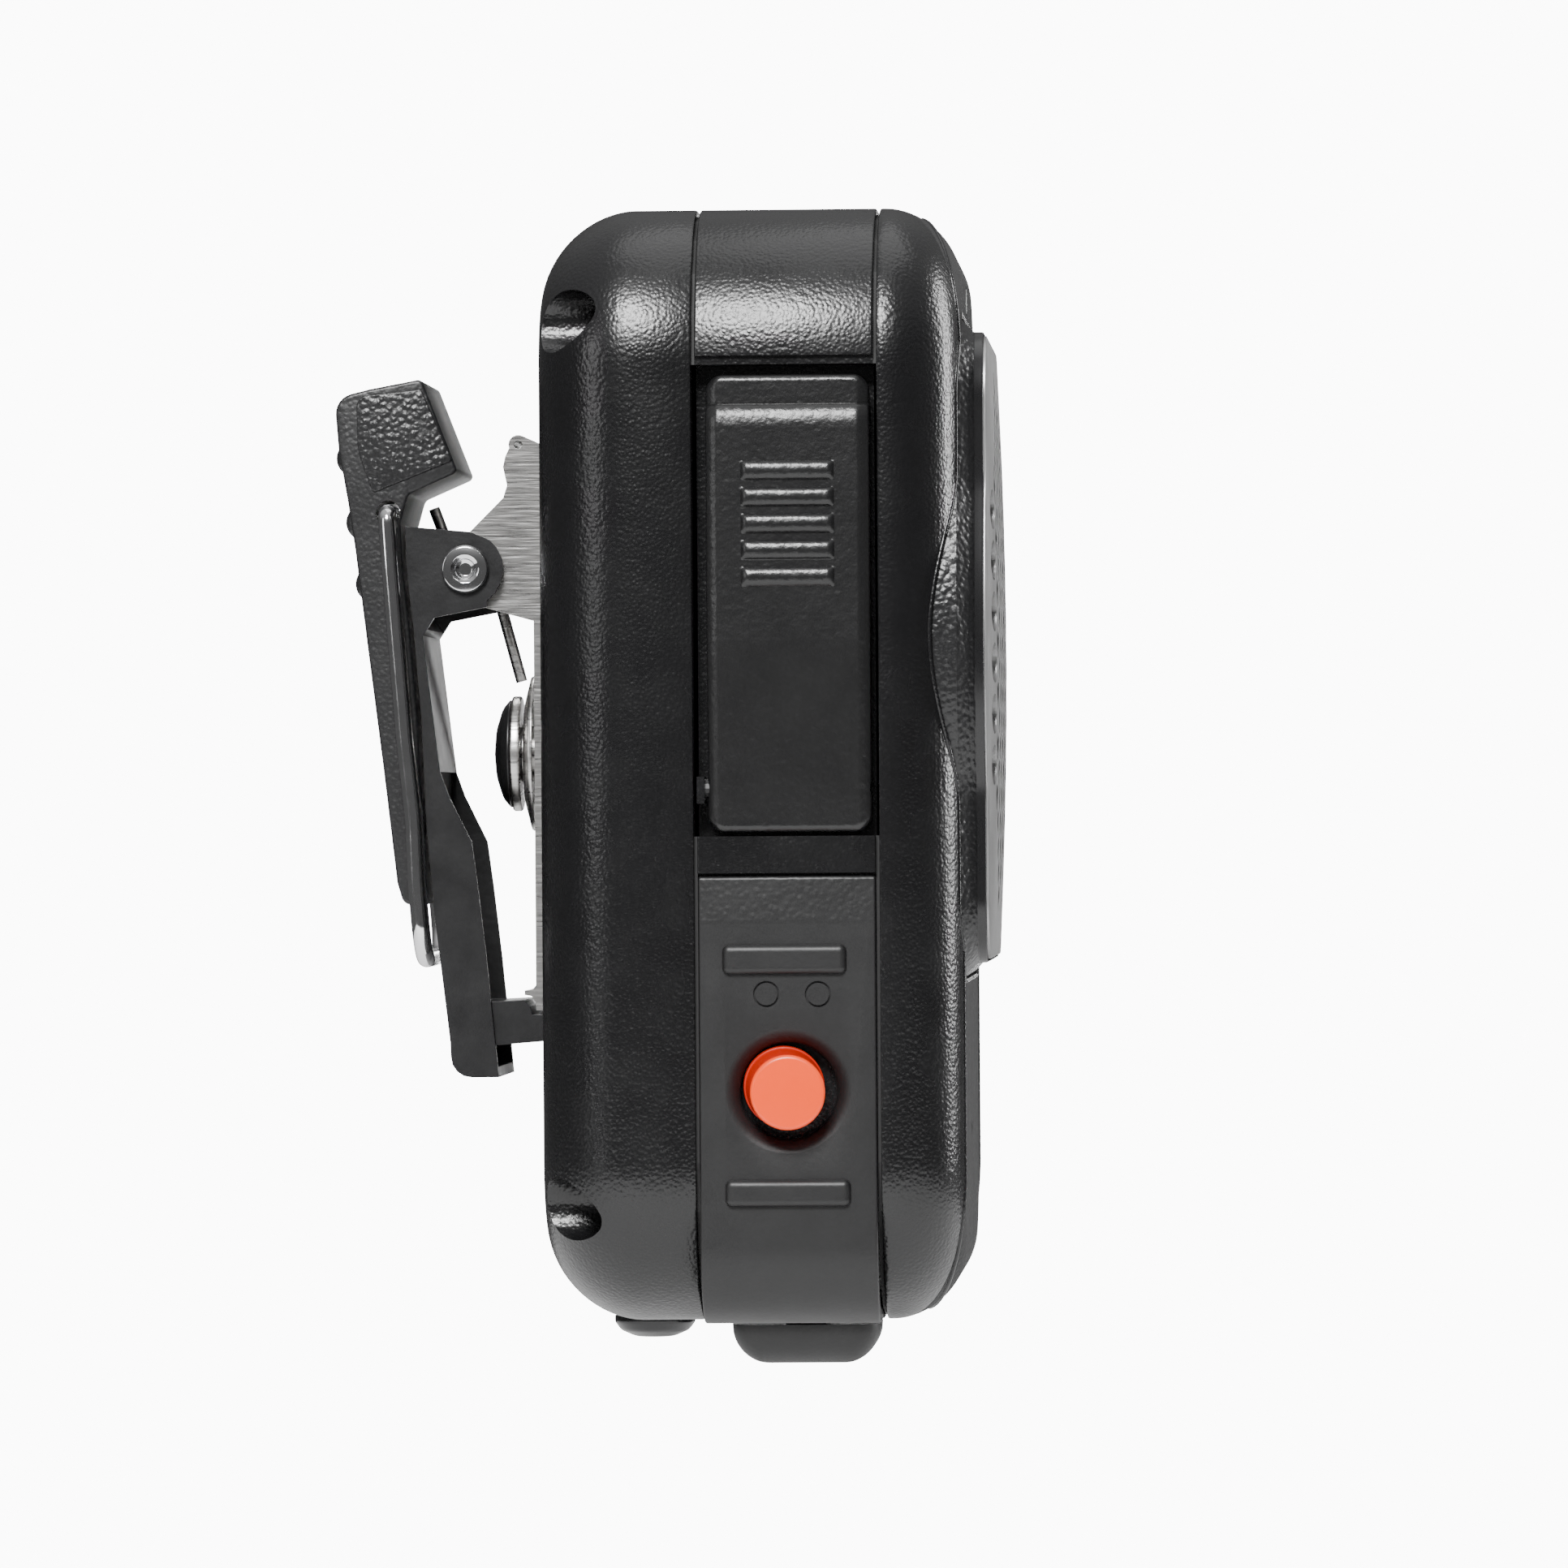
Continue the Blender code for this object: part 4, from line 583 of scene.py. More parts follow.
def lip(name, outline):
    """A fine raised lip along an outline on the front of the case."""
    path = np.stack([outline[:, 0], face_depth(outline) + 0.05, outline[:, 1]], 1)
    ahead = np.roll(path, -1, 0) - np.roll(path, 1, 0)
    ahead /= np.linalg.norm(ahead, axis=1)[:, None]
    across = np.cross(ahead, (0, 1, 0))
    across /= np.linalg.norm(across, axis=1)[:, None]
    up = np.cross(across, ahead)
    angle = np.linspace(0, 2 * math.pi, 10, endpoint=False)[None, :, None]
    rings = path[:, None] + 0.2 * (np.cos(angle) * across[:, None] + np.sin(angle) * up[:, None])
    return fit(make(name, rings, 60, loop=True), case_finish, "housing", "housing_plastic")


def even(outline, step=0.5):
    """The same closed outline with its points a step apart."""
    closed = np.concatenate([outline, outline[:1]])
    along = np.concatenate([[0], np.cumsum(np.linalg.norm(np.diff(closed, axis=0), axis=1))])
    place = np.linspace(0, along[-1], int(along[-1] / step), endpoint=False)
    return np.stack([np.interp(place, along, closed[:, 0]), np.interp(place, along, closed[:, 1])], 1)


x, low, high = PANEL_HALF + 0.1, 0.9, BODY_HEIGHT - 0.9
lip("panel_lip", even(bend([(-x, low), (x, low), (x, high), (-x, high)], [PANEL_CORNER - 0.7] * 4, 24)))
lip("speaker_lip", even(bezel_outline(-0.35)))

# ---------------------------------------------------------------- speaker frame and grille
# The frame stands proud of the panel, with a grained wall and a smooth rolled shoulder. Inside it sits a
# low domed grille of punched satin metal over black acoustic cloth.

BEZEL_RIM, GRILLE_INSET = 4.5, 1.6
GRILLE_RIM, GRILLE_RISE, GRILLE_SHEET = -17.0, 0.9, 0.6
HOLE, PITCH = 1.75, 4.4


def speaker_frame_plastic():
    """Coarsely grained on the leaning wall and smooth on the land above it: the grain stops at the edge."""
    finish, shader, place = new_finish("speaker_frame_plastic", 0.3)
    wall = axis_of(place, "Y").step(float(metres((0, -16.15, 0))[1]), float(metres((0, -15.95, 0))[1]))
    height = (cells(place, 0.5) * 0.75 + speckle(place, 0.25) * 0.5) * wall
    feed(shader, base_color=speckle(place, 4.0).mix((0.006, 0.006, 0.0065), (0.01, 0.01, 0.0105)),
         normal=bump(height, 0.11), roughness=wall * 0.06 + speckle(place, 3.0) * 0.06 + 0.24)
    return finish


wall = [(-0.15, BEZEL_BACK), (-0.15, FRONT_FACE + 0.3), (0.0, FRONT_FACE + 0.1), (1.2, -15.95),
        (1.25, -16.05), (1.25, BEZEL_FACE + 0.2), (1.3, BEZEL_FACE + 0.06), (1.42, BEZEL_FACE)]
bezel = make("speaker_frame", stack(bezel_outline(), wall))
carve(bezel, "DIFFERENCE", bezel_prism(GRILLE_INSET - 0.2, -30, GRILLE_RIM + GRILLE_SHEET + 0.3),
      bezel_prism(BEZEL_RIM))
fit(bezel, speaker_frame_plastic(), "housing", "panel_plastic", "speaker_bezel")


def grille_surface(share, depth):
    """The grille at one level: the outline shrunk to a share of itself about the middle. It bows forward by
    (1 - across^8)(1 - along^2) times its rise, and across stays 1 under the frame."""
    middle = np.array([0, (BEZEL_LOW + BEZEL_HIGH) / 2])
    flat = middle + share[:, None, None] * (bezel_outline(GRILLE_INSET) - middle)
    across = 1 - np.minimum(np.abs(flat[..., 0]) / (BULGE - BEZEL_RIM), 1) ** 8
    along = 1 - ((flat[..., 1] - middle[1]) / ((BEZEL_HIGH - BEZEL_LOW) / 2)) ** 2
    return np.stack([flat[..., 0], GRILLE_RIM + depth - GRILLE_RISE * across * along, flat[..., 1]], -1)


def punched_metal():
    """Satin plated sheet, with fine scratches of the polishing belt and slightly duller patches."""
    finish, shader, place = new_finish("punched_metal", 0.4, 1.0)
    stretched = place.node("Mapping", {}, {"Vector": place, "Scale": (1.0, 1.0, 0.08)})
    scratches = speckle(stretched, 0.15)
    feed(shader, base_color=speckle(place, 5.0).mix((0.30, 0.30, 0.30), (0.42, 0.42, 0.42)),
         roughness=scratches * 0.2 + 0.32, normal=bump(scratches, 0.003))
    return finish


shares = np.linspace(1, 0, 24)
grille = make("speaker_grille_sheet", np.concatenate([grille_surface(shares, 0.0),
                                                      grille_surface(shares[::-1], GRILLE_SHEET)]), loop=True)
holes = [(i * PITCH * math.sqrt(3) / 2, SPEAKER_Z + j * PITCH + (i % 2) * PITCH / 2)
         for i in range(-5, 6) for j in range(-6, 6)]
drills = [rod(hole, "y", HOLE, -20, -14, 20) for hole in holes
          if math.hypot(hole[0], hole[1] - SPEAKER_Z) < BULGE - BEZEL_RIM]
carve(grille, "DIFFERENCE", *drills)
fit(grille, punched_metal(), "housing", "satin_grille", "speaker_grille")

# ---------------------------------------------------------------- push-to-talk key
# A long rocking key of smooth grey-black plastic, hinged at its lower end. Its face is flat above and leans
# in below, with a step at the top, a thin ledge down both sides and five raised grip bars.

KEY_Y, KEY_Z = (-7.35, 6.6), (42.15, 81.1)
KEY_OUT, KEY_THICK = BODY_HALF + 1.3, 2.6
BAR_TOP, BAR_PITCH, BAR_HALF, BAR_Y = 72.9, 2.26, 0.78, (-4.35, 3.6)


def smooth(value, start, end):
    """0 before start, 1 after end, and a smooth step between."""
    share = np.clip((value - start) / (end - start), 0, 1)
    return share * share * (3 - 2 * share)


FACINGS = {"-x": ((2, 0, 1), (-1, 1, 1)), "+x": ((2, 0, 1), (1, 1, 1)), "-z": ((0, 1, 2), (1, 1, -1))}


def cushion(name, u_range, v_range, corner, base, rim, height, facing, rows=120, columns=60):
    """A block with rounded corners in plan and a rounded rim. The surface is a grid: each row is as wide as
    the plan is there, and its height is height(u, v) less the drop of a quarter circle near the rim."""
    ease = 0.5 - 0.5 * np.cos(np.linspace(0, math.pi, rows))
    v = v_range[0] + (v_range[1] - v_range[0]) * (0.35 * ease + 0.65 * np.linspace(0, 1, rows))
    half = (u_range[1] - u_range[0]) / 2
    to_end = np.minimum(v - v_range[0], v_range[1] - v)
    into_corner = np.maximum(corner - to_end, 0)
    width = half - corner + np.sqrt(np.maximum(corner ** 2 - into_corner ** 2, 0))
    spread = np.linspace(-1, 1, columns)
    spread = np.sign(spread) * (1 - (1 - np.abs(spread)) ** 1.5)
    u = spread * width[:, None]
    to_side = half - np.abs(u)
    deep = np.hypot(np.maximum(corner - to_side, 0), np.maximum(corner - to_end, 0)[:, None])
    inside = np.where(deep > 0, corner - deep, np.minimum(to_side, to_end[:, None]))
    inside = np.minimum(inside, np.minimum(to_side, to_end[:, None]))
    near = rim - np.clip(inside, 0, rim)
    drop = rim - np.sqrt(np.maximum(rim ** 2 - near ** 2, 0))
    u, v = u + sum(u_range) / 2, v[:, None] + 0 * u
    grid = np.stack([u, v, height(u, v) - drop], -1)
    index = np.arange(rows * columns).reshape(rows, columns)
    around = np.concatenate([index[0], index[1:, -1], index[-1, -2::-1], index[-2:0:-1, 0]])
    foot = grid.reshape(-1, 3)[around].copy()
    foot[:, 2] = base
    below = rows * columns + np.arange(len(around))
    quads = np.stack([index[:-1, :-1], index[:-1, 1:], index[1:, 1:], index[1:, :-1]], -1).reshape(-1, 4)
    skirt = np.stack([around, np.roll(around, -1), np.roll(below, -1), below], -1)
    points = np.concatenate([grid.reshape(-1, 3), foot])
    order, signs = FACINGS[facing]
    return solid(name, points[:, order] * signs, quads.tolist() + skirt.tolist() + [below.tolist()])


def talk_key_height(y, z):
    """The face leans in below the middle, ends in a fillet above the bars, and slopes off at both sides."""
    fillet = np.clip((z - 76.5) / 2.1, 0, 1)
    face = KEY_OUT - 0.9 * np.clip((58.4 - z) / 16.25, 0, 1) - 0.95 * (1 - np.sqrt(1 - fillet ** 2))
    to_side = np.minimum(y - KEY_Y[0], KEY_Y[1] - y)
    face = face - 0.3 * (1 - smooth(to_side, 0.2, 1.1))
    phase = (z - BAR_TOP) / BAR_PITCH
    nearest = BAR_TOP + BAR_PITCH * np.clip(np.round(phase), -4, 0)
    bar = np.sqrt(np.maximum(1 - ((z - nearest) / BAR_HALF) ** 2, 0))
    ends = np.sqrt(np.clip(np.minimum(y - BAR_Y[0], BAR_Y[1] - y) / 0.5, 0, 1))
    return face + 0.42 * bar * ends


def key_plastic():
    """Fine matt plastic with a sandy tooth."""
    finish, shader, place = new_finish("key_plastic", 0.36)
    feed(shader, base_color=speckle(place, 5.0).mix((0.006, 0.006, 0.0063), (0.009, 0.009, 0.0093)),
         normal=bump(speckle(place, 0.3, 3.0), 0.06), roughness=speckle(place, 1.8) * 0.08 + 0.26)
    return finish


key_finish = key_plastic()
talk_key = cushion("talk_key", KEY_Y, KEY_Z, 1.5, KEY_OUT - KEY_THICK, 0.6, talk_key_height, "-x", 420, 110)
carve(talk_key, "DIFFERENCE", rod(HINGE, "y", 1.1, -20, 20, 24),
      box((KEY_FLOOR - 3.6, -6.2, HINGE[1] - 2.4), (KEY_FLOOR, -3.6, HINGE[1] + 2.4)))
carve(talk_key, "UNION", rod((0, 70.0), "x", 1.5, -KEY_OUT + 1, -27.8, 24))
fit(talk_key, key_finish, "ptt_key", "key_plastic", "ptt_button")

# ---------------------------------------------------------------- rubber side keypad
# One moulded rubber skin over the band's lower corner, with two raised key bars, two ring marks and a well
# for the emergency button. Its top strip carries the grain of the case.


def keypad_rubber():
    """Matt rubber, grained only in the strip above the keys."""
    finish, shader, place = new_finish("keypad_rubber", 0.55)
    strip = axis_of(place, "Z").step(float(metres((0, 0, 34.3))[2]), float(metres((0, 0, 34.7))[2]))
    height = strip * cells(place, 0.5) * 0.8 + speckle(place, 0.2, 3.0) * 0.3
    feed(shader, base_color=speckle(place, 5.0).mix((0.0045, 0.0045, 0.0048), (0.007, 0.007, 0.0073)),
         normal=bump(height, 0.05), roughness=speckle(place, 1.5) * 0.1 + 0.42)
    return finish


rubber_finish = keypad_rubber()
skin = [(-BODY_HALF, PAD_TOP), (-BODY_HALF, 0), (PAD_END, 0), (PAD_END, PAD_SKIN),
        (PAD_SKIN - BODY_HALF, PAD_SKIN), (PAD_SKIN - BODY_HALF, PAD_TOP)]
pad_outline = bend(skin, [0.35, BODY_CORNER, 0, 0, BODY_CORNER - PAD_SKIN, 0], 20)
keypad = make("keypad_skin", stack(pad_outline, edged(BAND[0] + 0.05, BAND[1] - 0.05, 0.2)))
for y, z, half_y, half_z in ((0.2, 31.3, 5.3, 1.27), (0.0, 11.4, 5.35, 1.15)):
    key_bar = cushion("tool", (y - half_y, y + half_y), (z - half_z, z + half_z), 0.6, BODY_HALF - 0.8, 0.6,
                      lambda u, v: BODY_HALF + 0.6 + 0 * u, "-x", 30, 60)
    carve(keypad, "UNION", key_bar)
rings = [make("tool", turned([(0.95, -BODY_HALF + 0.22), (1.12, -BODY_HALF + 0.22), (1.12, -BODY_HALF - 1),
                              (0.95, -BODY_HALF - 1)], place, "x", 40), loop=True)
         for place in ((1.76, 28.37), (-2.65, 28.34))]
well = bend([(0, -20), (4.1, -20), (4.1, -28.0), (4.75, -BODY_HALF + 0.15), (6.2, -BODY_HALF - 0.2),
             (0, -BODY_HALF - 0.2)],
            [0, 0, 1.2, 1.6, 0, 0], 10, loop=False)
carve(keypad, "DIFFERENCE", make("tool", turned(well, BUTTON, "x", 72)), *rings)
fit(keypad, rubber_finish, "housing", "rubber", "side_keypad")

# ---------------------------------------------------------------- emergency button
# A bright orange plastic button on a flange, set in the keypad's well.


def orange_plastic():
    """Smooth orange plastic with painted shade: from just behind its face down to its foot it is a darker
    orange, for the shade of the keypad's well.
    """
    finish, shader, place = new_finish("orange_plastic", 0.34)
    # painted shade: the face keeps the bright orange, and the sides and flange below it take the darker one
    foot = axis_of(place, "X").step(-31.65 * MM, -31.2 * MM)
    feed(shader, base_color=foot.mix((0.9, 0.06, 0.0), (0.45, 0.012, 0.0)),
         normal=bump(speckle(place, 0.4), 0.004), roughness=speckle(place, 1.0) * 0.06 + 0.3)
    return finish


profile = bend([(0, -31.7), (3.2, -31.7), (3.3, -28.4), (3.45, -28.3), (3.45, -27.6), (1.8, -27.6),
                (1.8, -23.5), (0, -23.5)], [0, 0.35, 0.1, 0.1, 0.1, 0.1, 0.1, 0], 8, loop=False)
cap = turned(profile, BUTTON, "x", 72)
lean = np.clip((-27.6 - cap[..., 0]) / 4.1, 0, 1)
cap[..., 1] -= 0.55 * lean - 0.45
cap[..., 2] -= 0.5 * lean - 0.4
button = make("orange_button", cap)
fit(button, orange_plastic(), "emergency_key", "orange_plastic", "emergency_button")

# ---------------------------------------------------------------- keys on the other side
# Three soft keys: two long ones for the volume and a shorter one for the power.

for name, z, half in SIDE_KEYS:
    soft_key = cushion(f"{name}_soft_key", (-SIDE_KEY_HALF, SIDE_KEY_HALF), (z - half, z + half), 1.2,
                       BODY_HALF - 3.8, 0.5,
                       lambda u, v: BODY_HALF + 0.9 - 0.35 * (1 - smooth(np.hypot(u, v - z), 1.0, 2.4)), "+x",
                       60, 40)
    fit(soft_key, rubber_finish, name, "rubber", f"{name}_key")

# ---------------------------------------------------------------- underside: port cover and jack plug
# A rubber cover hangs on its neck under the charging socket. The jack is closed by a glossy domed plug.

PORT_Y = -0.34
cover = cushion("port_cover_cap", (-5.6, 5.6), (PORT_Y - 6.5, PORT_Y + 6.5), 2.5, 1.0, 3.4,
                lambda u, v: 4.5 + 0 * u, "-z", 120, 90)
carve(cover, "UNION", box((-4.2, PORT_Y - 1.75, -2), (4.2, PORT_Y + 1.75, 2)))
fit(cover, rubber_finish, "port_cover", "rubber", "usb_port_cover")


def gloss_black():
    """Polished black plastic."""
    finish, shader, place = new_finish("gloss_black", 0.2)
    feed(shader, base_color=speckle(place, 3.0).mix((0.005, 0.005, 0.0055), (0.008, 0.008, 0.0085)),
         normal=bump(speckle(place, 0.5), 0.004), roughness=speckle(place, 2.0) * 0.06 + 0.2)
    return finish


profile = bend([(0, 3.4), (2.2, 3.4), (2.2, -0.3), (3.55, -0.3), (3.55, -0.9), (3.0, -1.65), (1.7, -2.2),
                (0, -2.28)], [0, 0.1, 0.1, 0.12, 0.5, 1.2, 2.0, 0], 6, loop=False)
plug = make("jack_plug_dome", turned(profile, (0, JACK_Y), "z", 64))
fit(plug, gloss_black(), "jack_cover", "panel_plastic", "jack_plug")

# ---------------------------------------------------------------- clip: bracket, washer and rivet
# The clip's base is pressed from one bright steel sheet and turns on a black domed rivet with a bright disc
# under its head. A dished spring washer keeps the swivel tight.

PLATE = REAR_FACE + 1.5


def brushed_steel():
    """Bright rolled sheet with short streaks across it."""
    finish, shader, place = new_finish("brushed_steel", 0.3, 1.0)
    stretched = place.node("Mapping", {}, {"Vector": place, "Scale": (0.12, 0.06, 1.0)})
    streaks = speckle(stretched, 0.12, 3.0)
    feed(shader, base_color=streaks.mix((0.30, 0.295, 0.29), (0.80, 0.79, 0.77)),
         roughness=streaks * 0.2 + 0.2, normal=bump(streaks, 0.03))
    return finish


def from_node(name, node, edge):
    """A copy of a node's solid with its flat faces made whole and its edges rounded."""
    mesh = frame["nodes"][node].data.copy()
    bm = bmesh.new()
    bm.from_mesh(mesh)
    bmesh.ops.remove_doubles(bm, verts=bm.verts, dist=0.001 * MM)
    bmesh.ops.dissolve_limit(bm, angle_limit=math.radians(1), verts=bm.verts, edges=bm.edges)
    bm.to_mesh(mesh)
    bm.free()
    copy = bpy.data.objects.new(name, mesh)
    bpy.context.scene.collection.objects.link(copy)
    rounding = copy.modifiers.new("edge", "BEVEL")
    rounding.width, rounding.segments, rounding.limit_method = edge * MM, 2, "ANGLE"
    rounding.angle_limit, rounding.harden_normals = math.radians(30), True
    return shade(copy, 40)


steel_finish = brushed_steel()
bracket = from_node("clip_base_sheet", "clip_bracket", 0.12)
fit(bracket, steel_finish, "clip_base", "bright_steel", "clip_bracket")

washer = bend([(6.95, PLATE + 0.3), (6.75, PLATE + 0.75), (4.6, PLATE + 1.3), (2.7, PLATE + 1.3),
               (2.7, PLATE + 0.9), (4.4, PLATE + 0.9)], [0.1] * 6, 3)
fit(make("swivel_washer", turned(washer, (0, SWIVEL_Z), "y", 64), loop=True), steel_finish, "clip_base",
    "bright_steel", "spring_washer")


def black_steel():
    """Sheet steel in a thin black coat, with a fine eggshell texture and a faint metallic sheen."""
    finish, shader, place = new_finish("black_steel", 0.36)
    height = speckle(place, 0.3, 3.0) * 0.7 + speckle(place, 1.4) * 0.3
    feed(shader, base_color=speckle(place, 3.0).mix((0.007, 0.007, 0.0075), (0.012, 0.012, 0.0125)),
         normal=bump(height, 0.04), roughness=speckle(place, 1.2) * 0.14 + 0.28)
    return finish


black_steel_finish = black_steel()
dome = bend([(4.2, PLATE + 2.45), (4.95, PLATE + 2.5), (4.0, PLATE + 3.3), (2.3, PLATE + 3.85),
             (0, PLATE + 4.1)], [0, 0.3, 1.5, 3.0, 0], 6, loop=False)
dome = np.concatenate([[(0, PLATE + 2.45)], dome])
fit(make("rivet_dome", turned(dome, (0, SWIVEL_Z), "y", 64)), black_steel_finish, "housing", "black_steel",
    "swivel_rivet")
disc = bend([(0, 17.0), (4.0, 17.0), (4.0, 18.1), (2.4, 18.1), (2.4, PLATE + 1.6), (5.07, PLATE + 1.6),
             (5.07, PLATE + 2.45), (0, PLATE + 2.45)], [0, 0.1, 0.1, 0.1, 0.1, 0.2, 0.2, 0], 4, loop=False)
fit(make("rivet_disc", turned(disc, (0, SWIVEL_Z), "y", 64)), steel_finish, "housing", "black_steel")

# ---------------------------------------------------------------- clip: pivot pin and spring
# The lever turns on a bright hollow rivet with peened rims. A steel spring is wound round it, with one leg
# on the base and the other under the lever's cover.

PIVOT = (PLATE + 5.85, 65.27)


def bright_plate():
    """Polished nickel plate with a few soft ripples."""
    finish, shader, place = new_finish("bright_plate", 0.1, 1.0)
    feed(shader, base_color=speckle(place, 4.0).mix((0.72, 0.72, 0.73), (0.82, 0.82, 0.83)),
         normal=bump(speckle(place, 0.8), 0.004), roughness=speckle(place, 1.0) * 0.1 + 0.06)
    return finish


plate_finish = bright_plate()
half_pin = bend([(0, 9.3), (0.55, 9.3), (0.9, 9.5), (0.9, 9.85), (1.25, 10.05), (1.95, 9.95), (2.1, 9.65),
                 (1.45, 9.65), (1.45, 0)], [0, 0.1, 0.15, 0.1, 0.15, 0.12, 0.05, 0.05, 0], 4, loop=False)
pin = make("pivot_rivet", turned(np.concatenate([half_pin, (half_pin * (1, -1))[::-1]]), PIVOT, "x", 48))
fit(pin, plate_finish, "clip_base", "chrome_wire", "clip_pivot_pin")


def tube(name, path, radius, sight_line, sides=20):
    """A round wire along a path. Each ring is square to the path, turned so that its first spoke is square to
    one fixed line, and the two ends are flat."""
    path = np.asarray(path, float)
    ahead = np.gradient(path, axis=0)
    ahead /= np.linalg.norm(ahead, axis=1)[:, None]
    across = np.cross(ahead, sight_line)
    across /= np.linalg.norm(across, axis=1)[:, None]
    up = np.cross(across, ahead)
    angle = np.linspace(0, 2 * math.pi, sides, endpoint=False)[None, :, None]
    spokes = np.cos(angle) * across[:, None] + np.sin(angle) * up[:, None]
    return make(name, path[:, None] + radius * spokes, 50)


TURNS, COIL_PITCH, COIL_RADIUS, SPRING_WIRE = 5.5, 1.25, 2.3, 0.5
wound = np.linspace(0, TURNS, 200)
angle = math.radians(-160) + 2 * math.pi * wound
coil = np.stack([COIL_PITCH * (wound - TURNS / 2), PIVOT[0] + COIL_RADIUS * np.cos(angle),
                 PIVOT[1] + COIL_RADIUS * np.sin(angle)], 1)
legs = [(coil[0, 0], PLATE + 1.4, 55.5), (coil[0, 0], coil[0, 1] - 0.1, 63.6)], [
    (coil[-1, 0], PLATE + 8.7, 68.6), (coil[-1, 0], PLATE + 9.6, 71.0)]
spring = tube("clip_coil", np.concatenate([legs[0], coil, legs[1]]), SPRING_WIRE, (1, 0, 0), 12)
spring.data.materials.append(steel_finish)
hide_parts("clip_spring")
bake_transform(spring)

# ---------------------------------------------------------------- clip: lever, cover and bail
# The lever is folded from sheet steel and coated black. A grained plastic cover is pressed over its back,
# with three thumb ribs, and a bright wire bail swings from it.

COVER_HALF = 9.3
lever = from_node("lever_sheet", "clip_lever", 0.15)
fit(lever, black_steel_finish, "clip_jaw_lever", "black_steel", "clip_lever")

COVER = ((9.6, 81.9, 0.5), (14.2, 81.05, 6), (17.25, 80.3, 1.8), (16.88, 75.7, 8), (16.12, 71.3, 12),
         (15.5, 67.1, 12), (14.94, 62.5, 20), (14.4, 58.0, 20), (13.17, 48.05, 30), (12.56, 42.74, 20),
         (12.01, 37.9, 4), (11.45, 36.0, 0.9), (9.35, 36.0, 0.5), (9.75, 42.7, 20),
         (10.15, 52.35, 20), (10.8, 60.3, 12), (11.35, 65.3, 4), (11.5, 69.4, 1.5), (10.8, 71.85, 0.8),
         (6.45, 73.75, 0.5))


def clip_outline(points):
    """A closed outline from (out, z, corner radius) points."""
    out, z, radii = np.array(points, float).T
    return bend(np.stack([PLATE + out, z], 1), radii, 6)


cover_finish = grained_plastic("cover_plastic", (0.007, 0.007, 0.0075), (0.012, 0.012, 0.0125),
                               roughness=0.4, grain=0.4, depth=0.05)
lever_cover = make("thumb_cover", stack(clip_outline(COVER), edged(-COVER_HALF, COVER_HALF, 0.3), "yz"))
for out, z in ((15.7, 75.1), (14.9, 69.5), (14.1, 64.1)):
    rib = turned(edged(1.8 - COVER_HALF, COVER_HALF - 1.8, 0.8, 5) * (-1, 1) + (1.6, 0), (PLATE + out, z),
                 "x", 40)
    carve(lever_cover, "UNION", make("tool", rib))
carve(lever_cover, "DIFFERENCE", rod((PLATE + 12.6, 70.2), "x", 1.1, -20, 20, 32))
fit(lever_cover, cover_finish, "clip_jaw_lever", "housing_plastic", "lever_cover")

GRIP = ((15.3, 80.4, 1.0), (9.6, 81.0, 0.3), (6.9, 74.75, 0.3), (13.9, 72.0, 0.3), (15.2, 75.6, 6))
leather_finish = grained_plastic("leather_plastic", (0.007, 0.007, 0.0075), (0.012, 0.012, 0.0125),
                                 roughness=0.34, grain=0.46, depth=0.12)
for side in (-1, 1):
    name = "left_grip_panel" if side < 0 else "right_grip_panel"
    grip = make(name, stack(clip_outline(GRIP),
                            edged(side * (COVER_HALF - 0.3), side * (COVER_HALF + 0.15), 0.12), "yz"))
    fit(grip, leather_finish, "clip_jaw_lever", "housing_plastic")

BAIL_HALF, BAIL_WIRE = 10.4, 0.8
half_bail = [(5.8, 12.6, 70.2)] + [(BAIL_HALF, out, z) for out, z in (
    (12.6, 70.2), (12.3, 65.3), (11.1, 50.0), (10.4, 43.5), (10.2, 38.0), (9.65, 31.3))]
bail_points = np.array(half_bail + [(-x, out, z) for x, out, z in half_bail[::-1]]) + (0, PLATE, 0)
bail_path = bend(bail_points, [0, 0.9, 20, 40, 30, 20, 3.3, 3.3, 20, 30, 40, 20, 0.9, 0], 10, loop=False)
bail = tube("wire_bail", bail_path, BAIL_WIRE, (0, 1, 0), 24)
fit(bail, plate_finish, "bail", "chrome_wire", "clip_bail")

# ---------------------------------------------------------------- what is left of the inside
# Seals, screws, board, battery and the speaker's works keep their own solids and get a finish each.


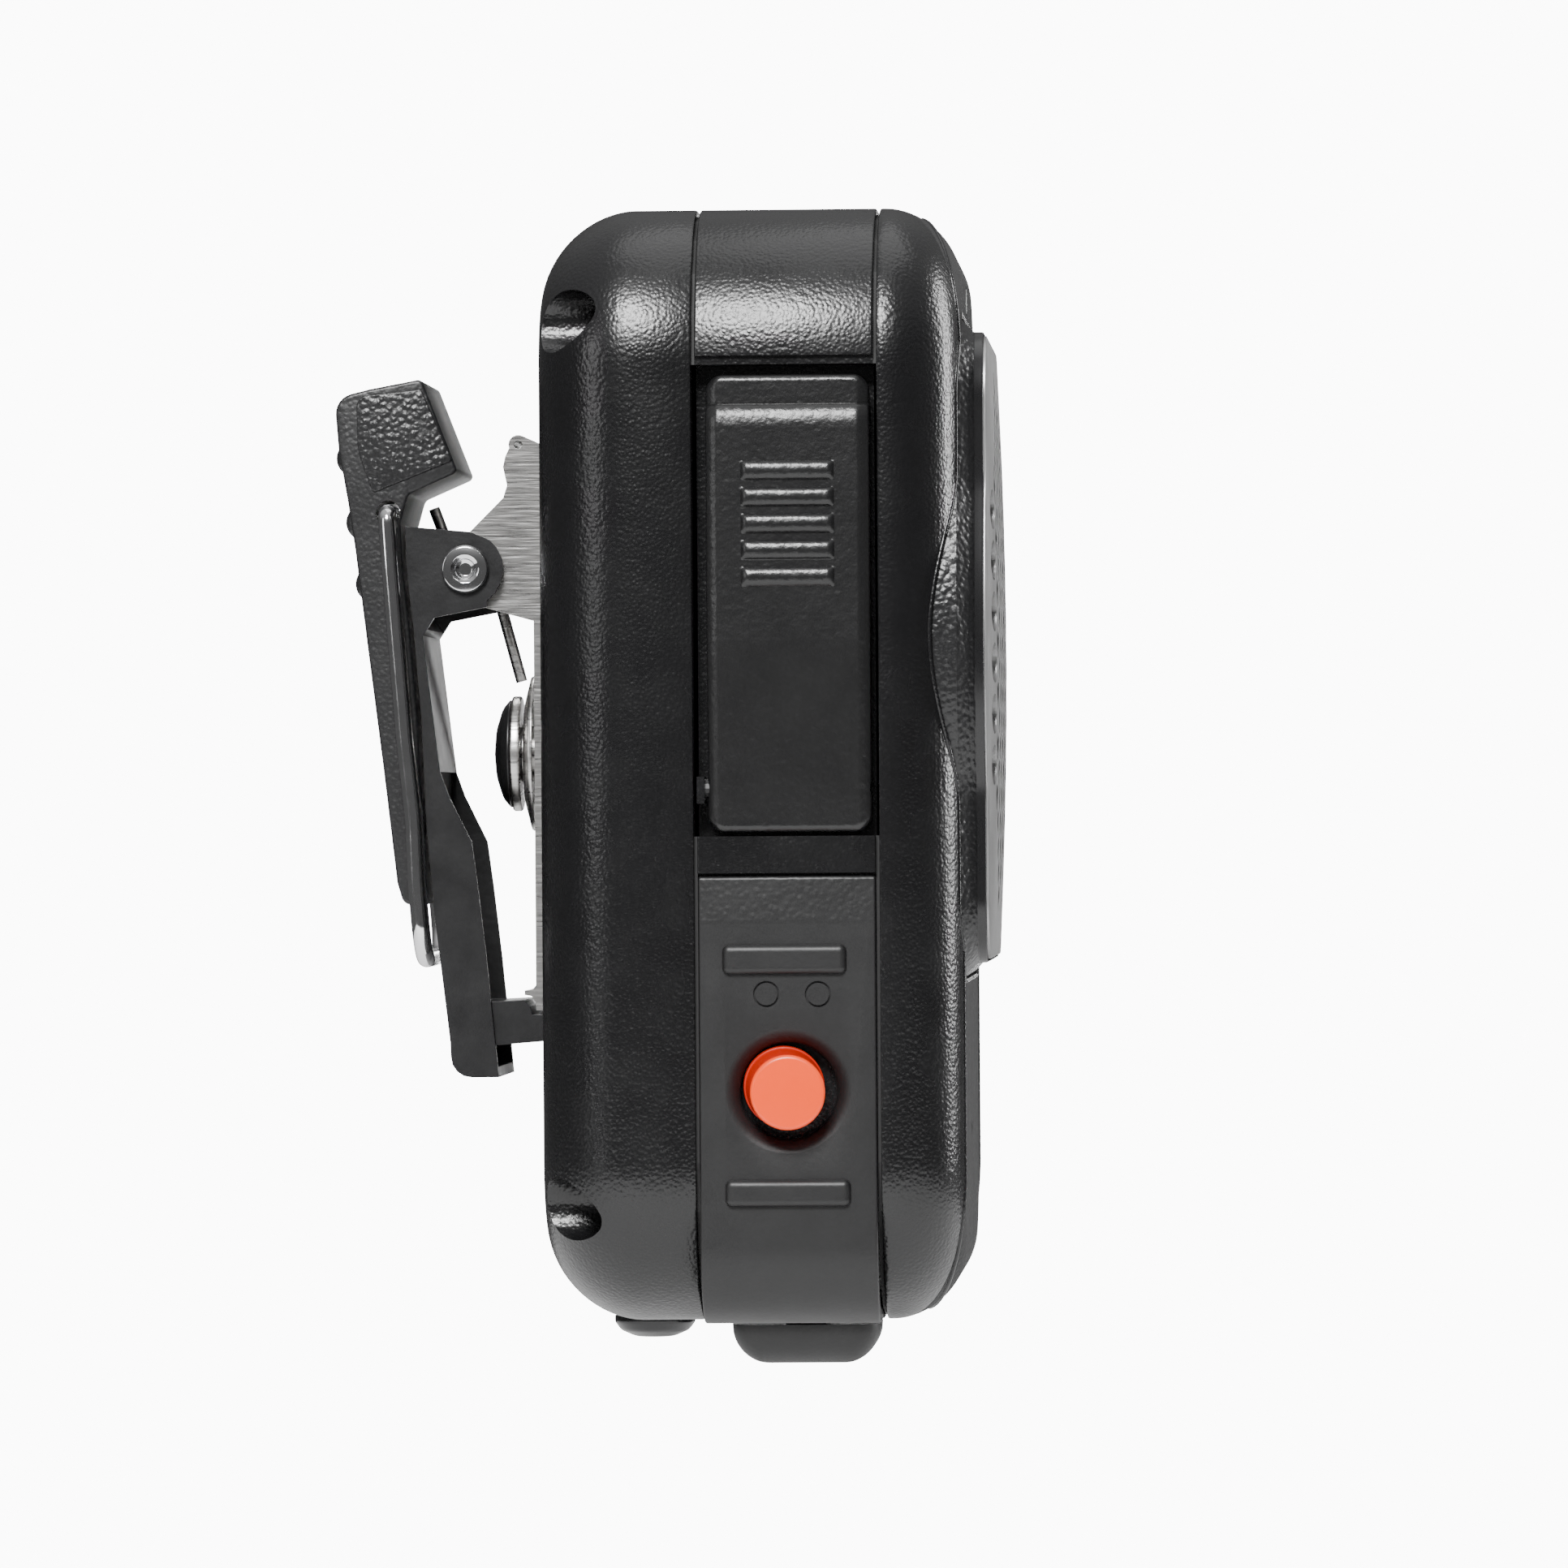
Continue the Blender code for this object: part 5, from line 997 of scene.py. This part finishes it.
def plain_finish(name, dark, light, roughness, metallic, grain):
    """One small-grained finish: two tones in patches, and a tooth of the grain's size."""
    finish, shader, place = new_finish(name, roughness, metallic)
    feed(shader, base_color=speckle(place, grain * 6).mix(dark, light),
         normal=bump(speckle(place, grain), 0.02),
         roughness=speckle(place, grain * 3) * 0.1 + (roughness - 0.05))
    return finish


def circuit_green():
    """Green solder mask over a grid of copper tracks."""
    finish, shader, place = new_finish("circuit_green", 0.4)
    tracks = place.node("TexBrick", {}, {"Vector": place, "Scale": 600.0, "Mortar Size": 0.06}, 1)
    feed(shader, base_color=tracks.mix((0.012, 0.09, 0.03), (0.03, 0.2, 0.07)), normal=bump(tracks, 0.02))
    return finish


screw_finish = plain_finish("zinc_plate", (0.35, 0.35, 0.36), (0.6, 0.6, 0.61), 0.35, 1.0, 0.4)
dark_finish = plain_finish("inner_black", (0.012, 0.012, 0.012), (0.02, 0.02, 0.02), 0.5, 0.0, 0.5)
foam_finish = plain_finish("grey_foam", (0.03, 0.03, 0.03), (0.07, 0.07, 0.07), 0.9, 0.0, 0.6)
INNER = {
    plain_finish("seal_rubber", (0.006, 0.006, 0.006), (0.01, 0.01, 0.01), 0.7, 0.0, 0.4):
        ("rear_seal", "front_seal"),
    screw_finish: ("ptt_switch", "usb_connector", "microphone_capsule", "rivet_backing_washer",
                   "speaker_magnet",
                   *[f"{kind}_screw_{i}" for kind in ("board", "housing") for i in range(1, 5)]),
    dark_finish: ("emergency_switch", "audio_jack", "battery_contacts", "speaker_basket", "ptt_hinge_pin"),
    foam_finish: ("speaker_gasket", "battery_pad"),
    plain_finish("acoustic_cloth", (0.004, 0.004, 0.004), (0.012, 0.012, 0.012), 0.95, 0.0, 0.3):
        ("grille_cloth", "speaker_cone"),
    circuit_green(): ("main_board", "side_key_board", "internal_antenna"),
    plain_finish("cell_wrap", (0.16, 0.18, 0.2), (0.22, 0.24, 0.27), 0.4, 0.0, 1.2): ("battery_pack",),
    plain_finish("light_pipe", (0.5, 0.52, 0.5), (0.6, 0.62, 0.6), 0.3, 0.0, 0.3): ("status_light",),
}
for finish, names in INNER.items():
    for name in names:
        node = frame["nodes"][name]
        if not node.material_slots:
            node.data.materials.append(finish)
        for place in node.material_slots:
            place.material = finish

# ---------------------------------------------------------------- sizes

low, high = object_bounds()
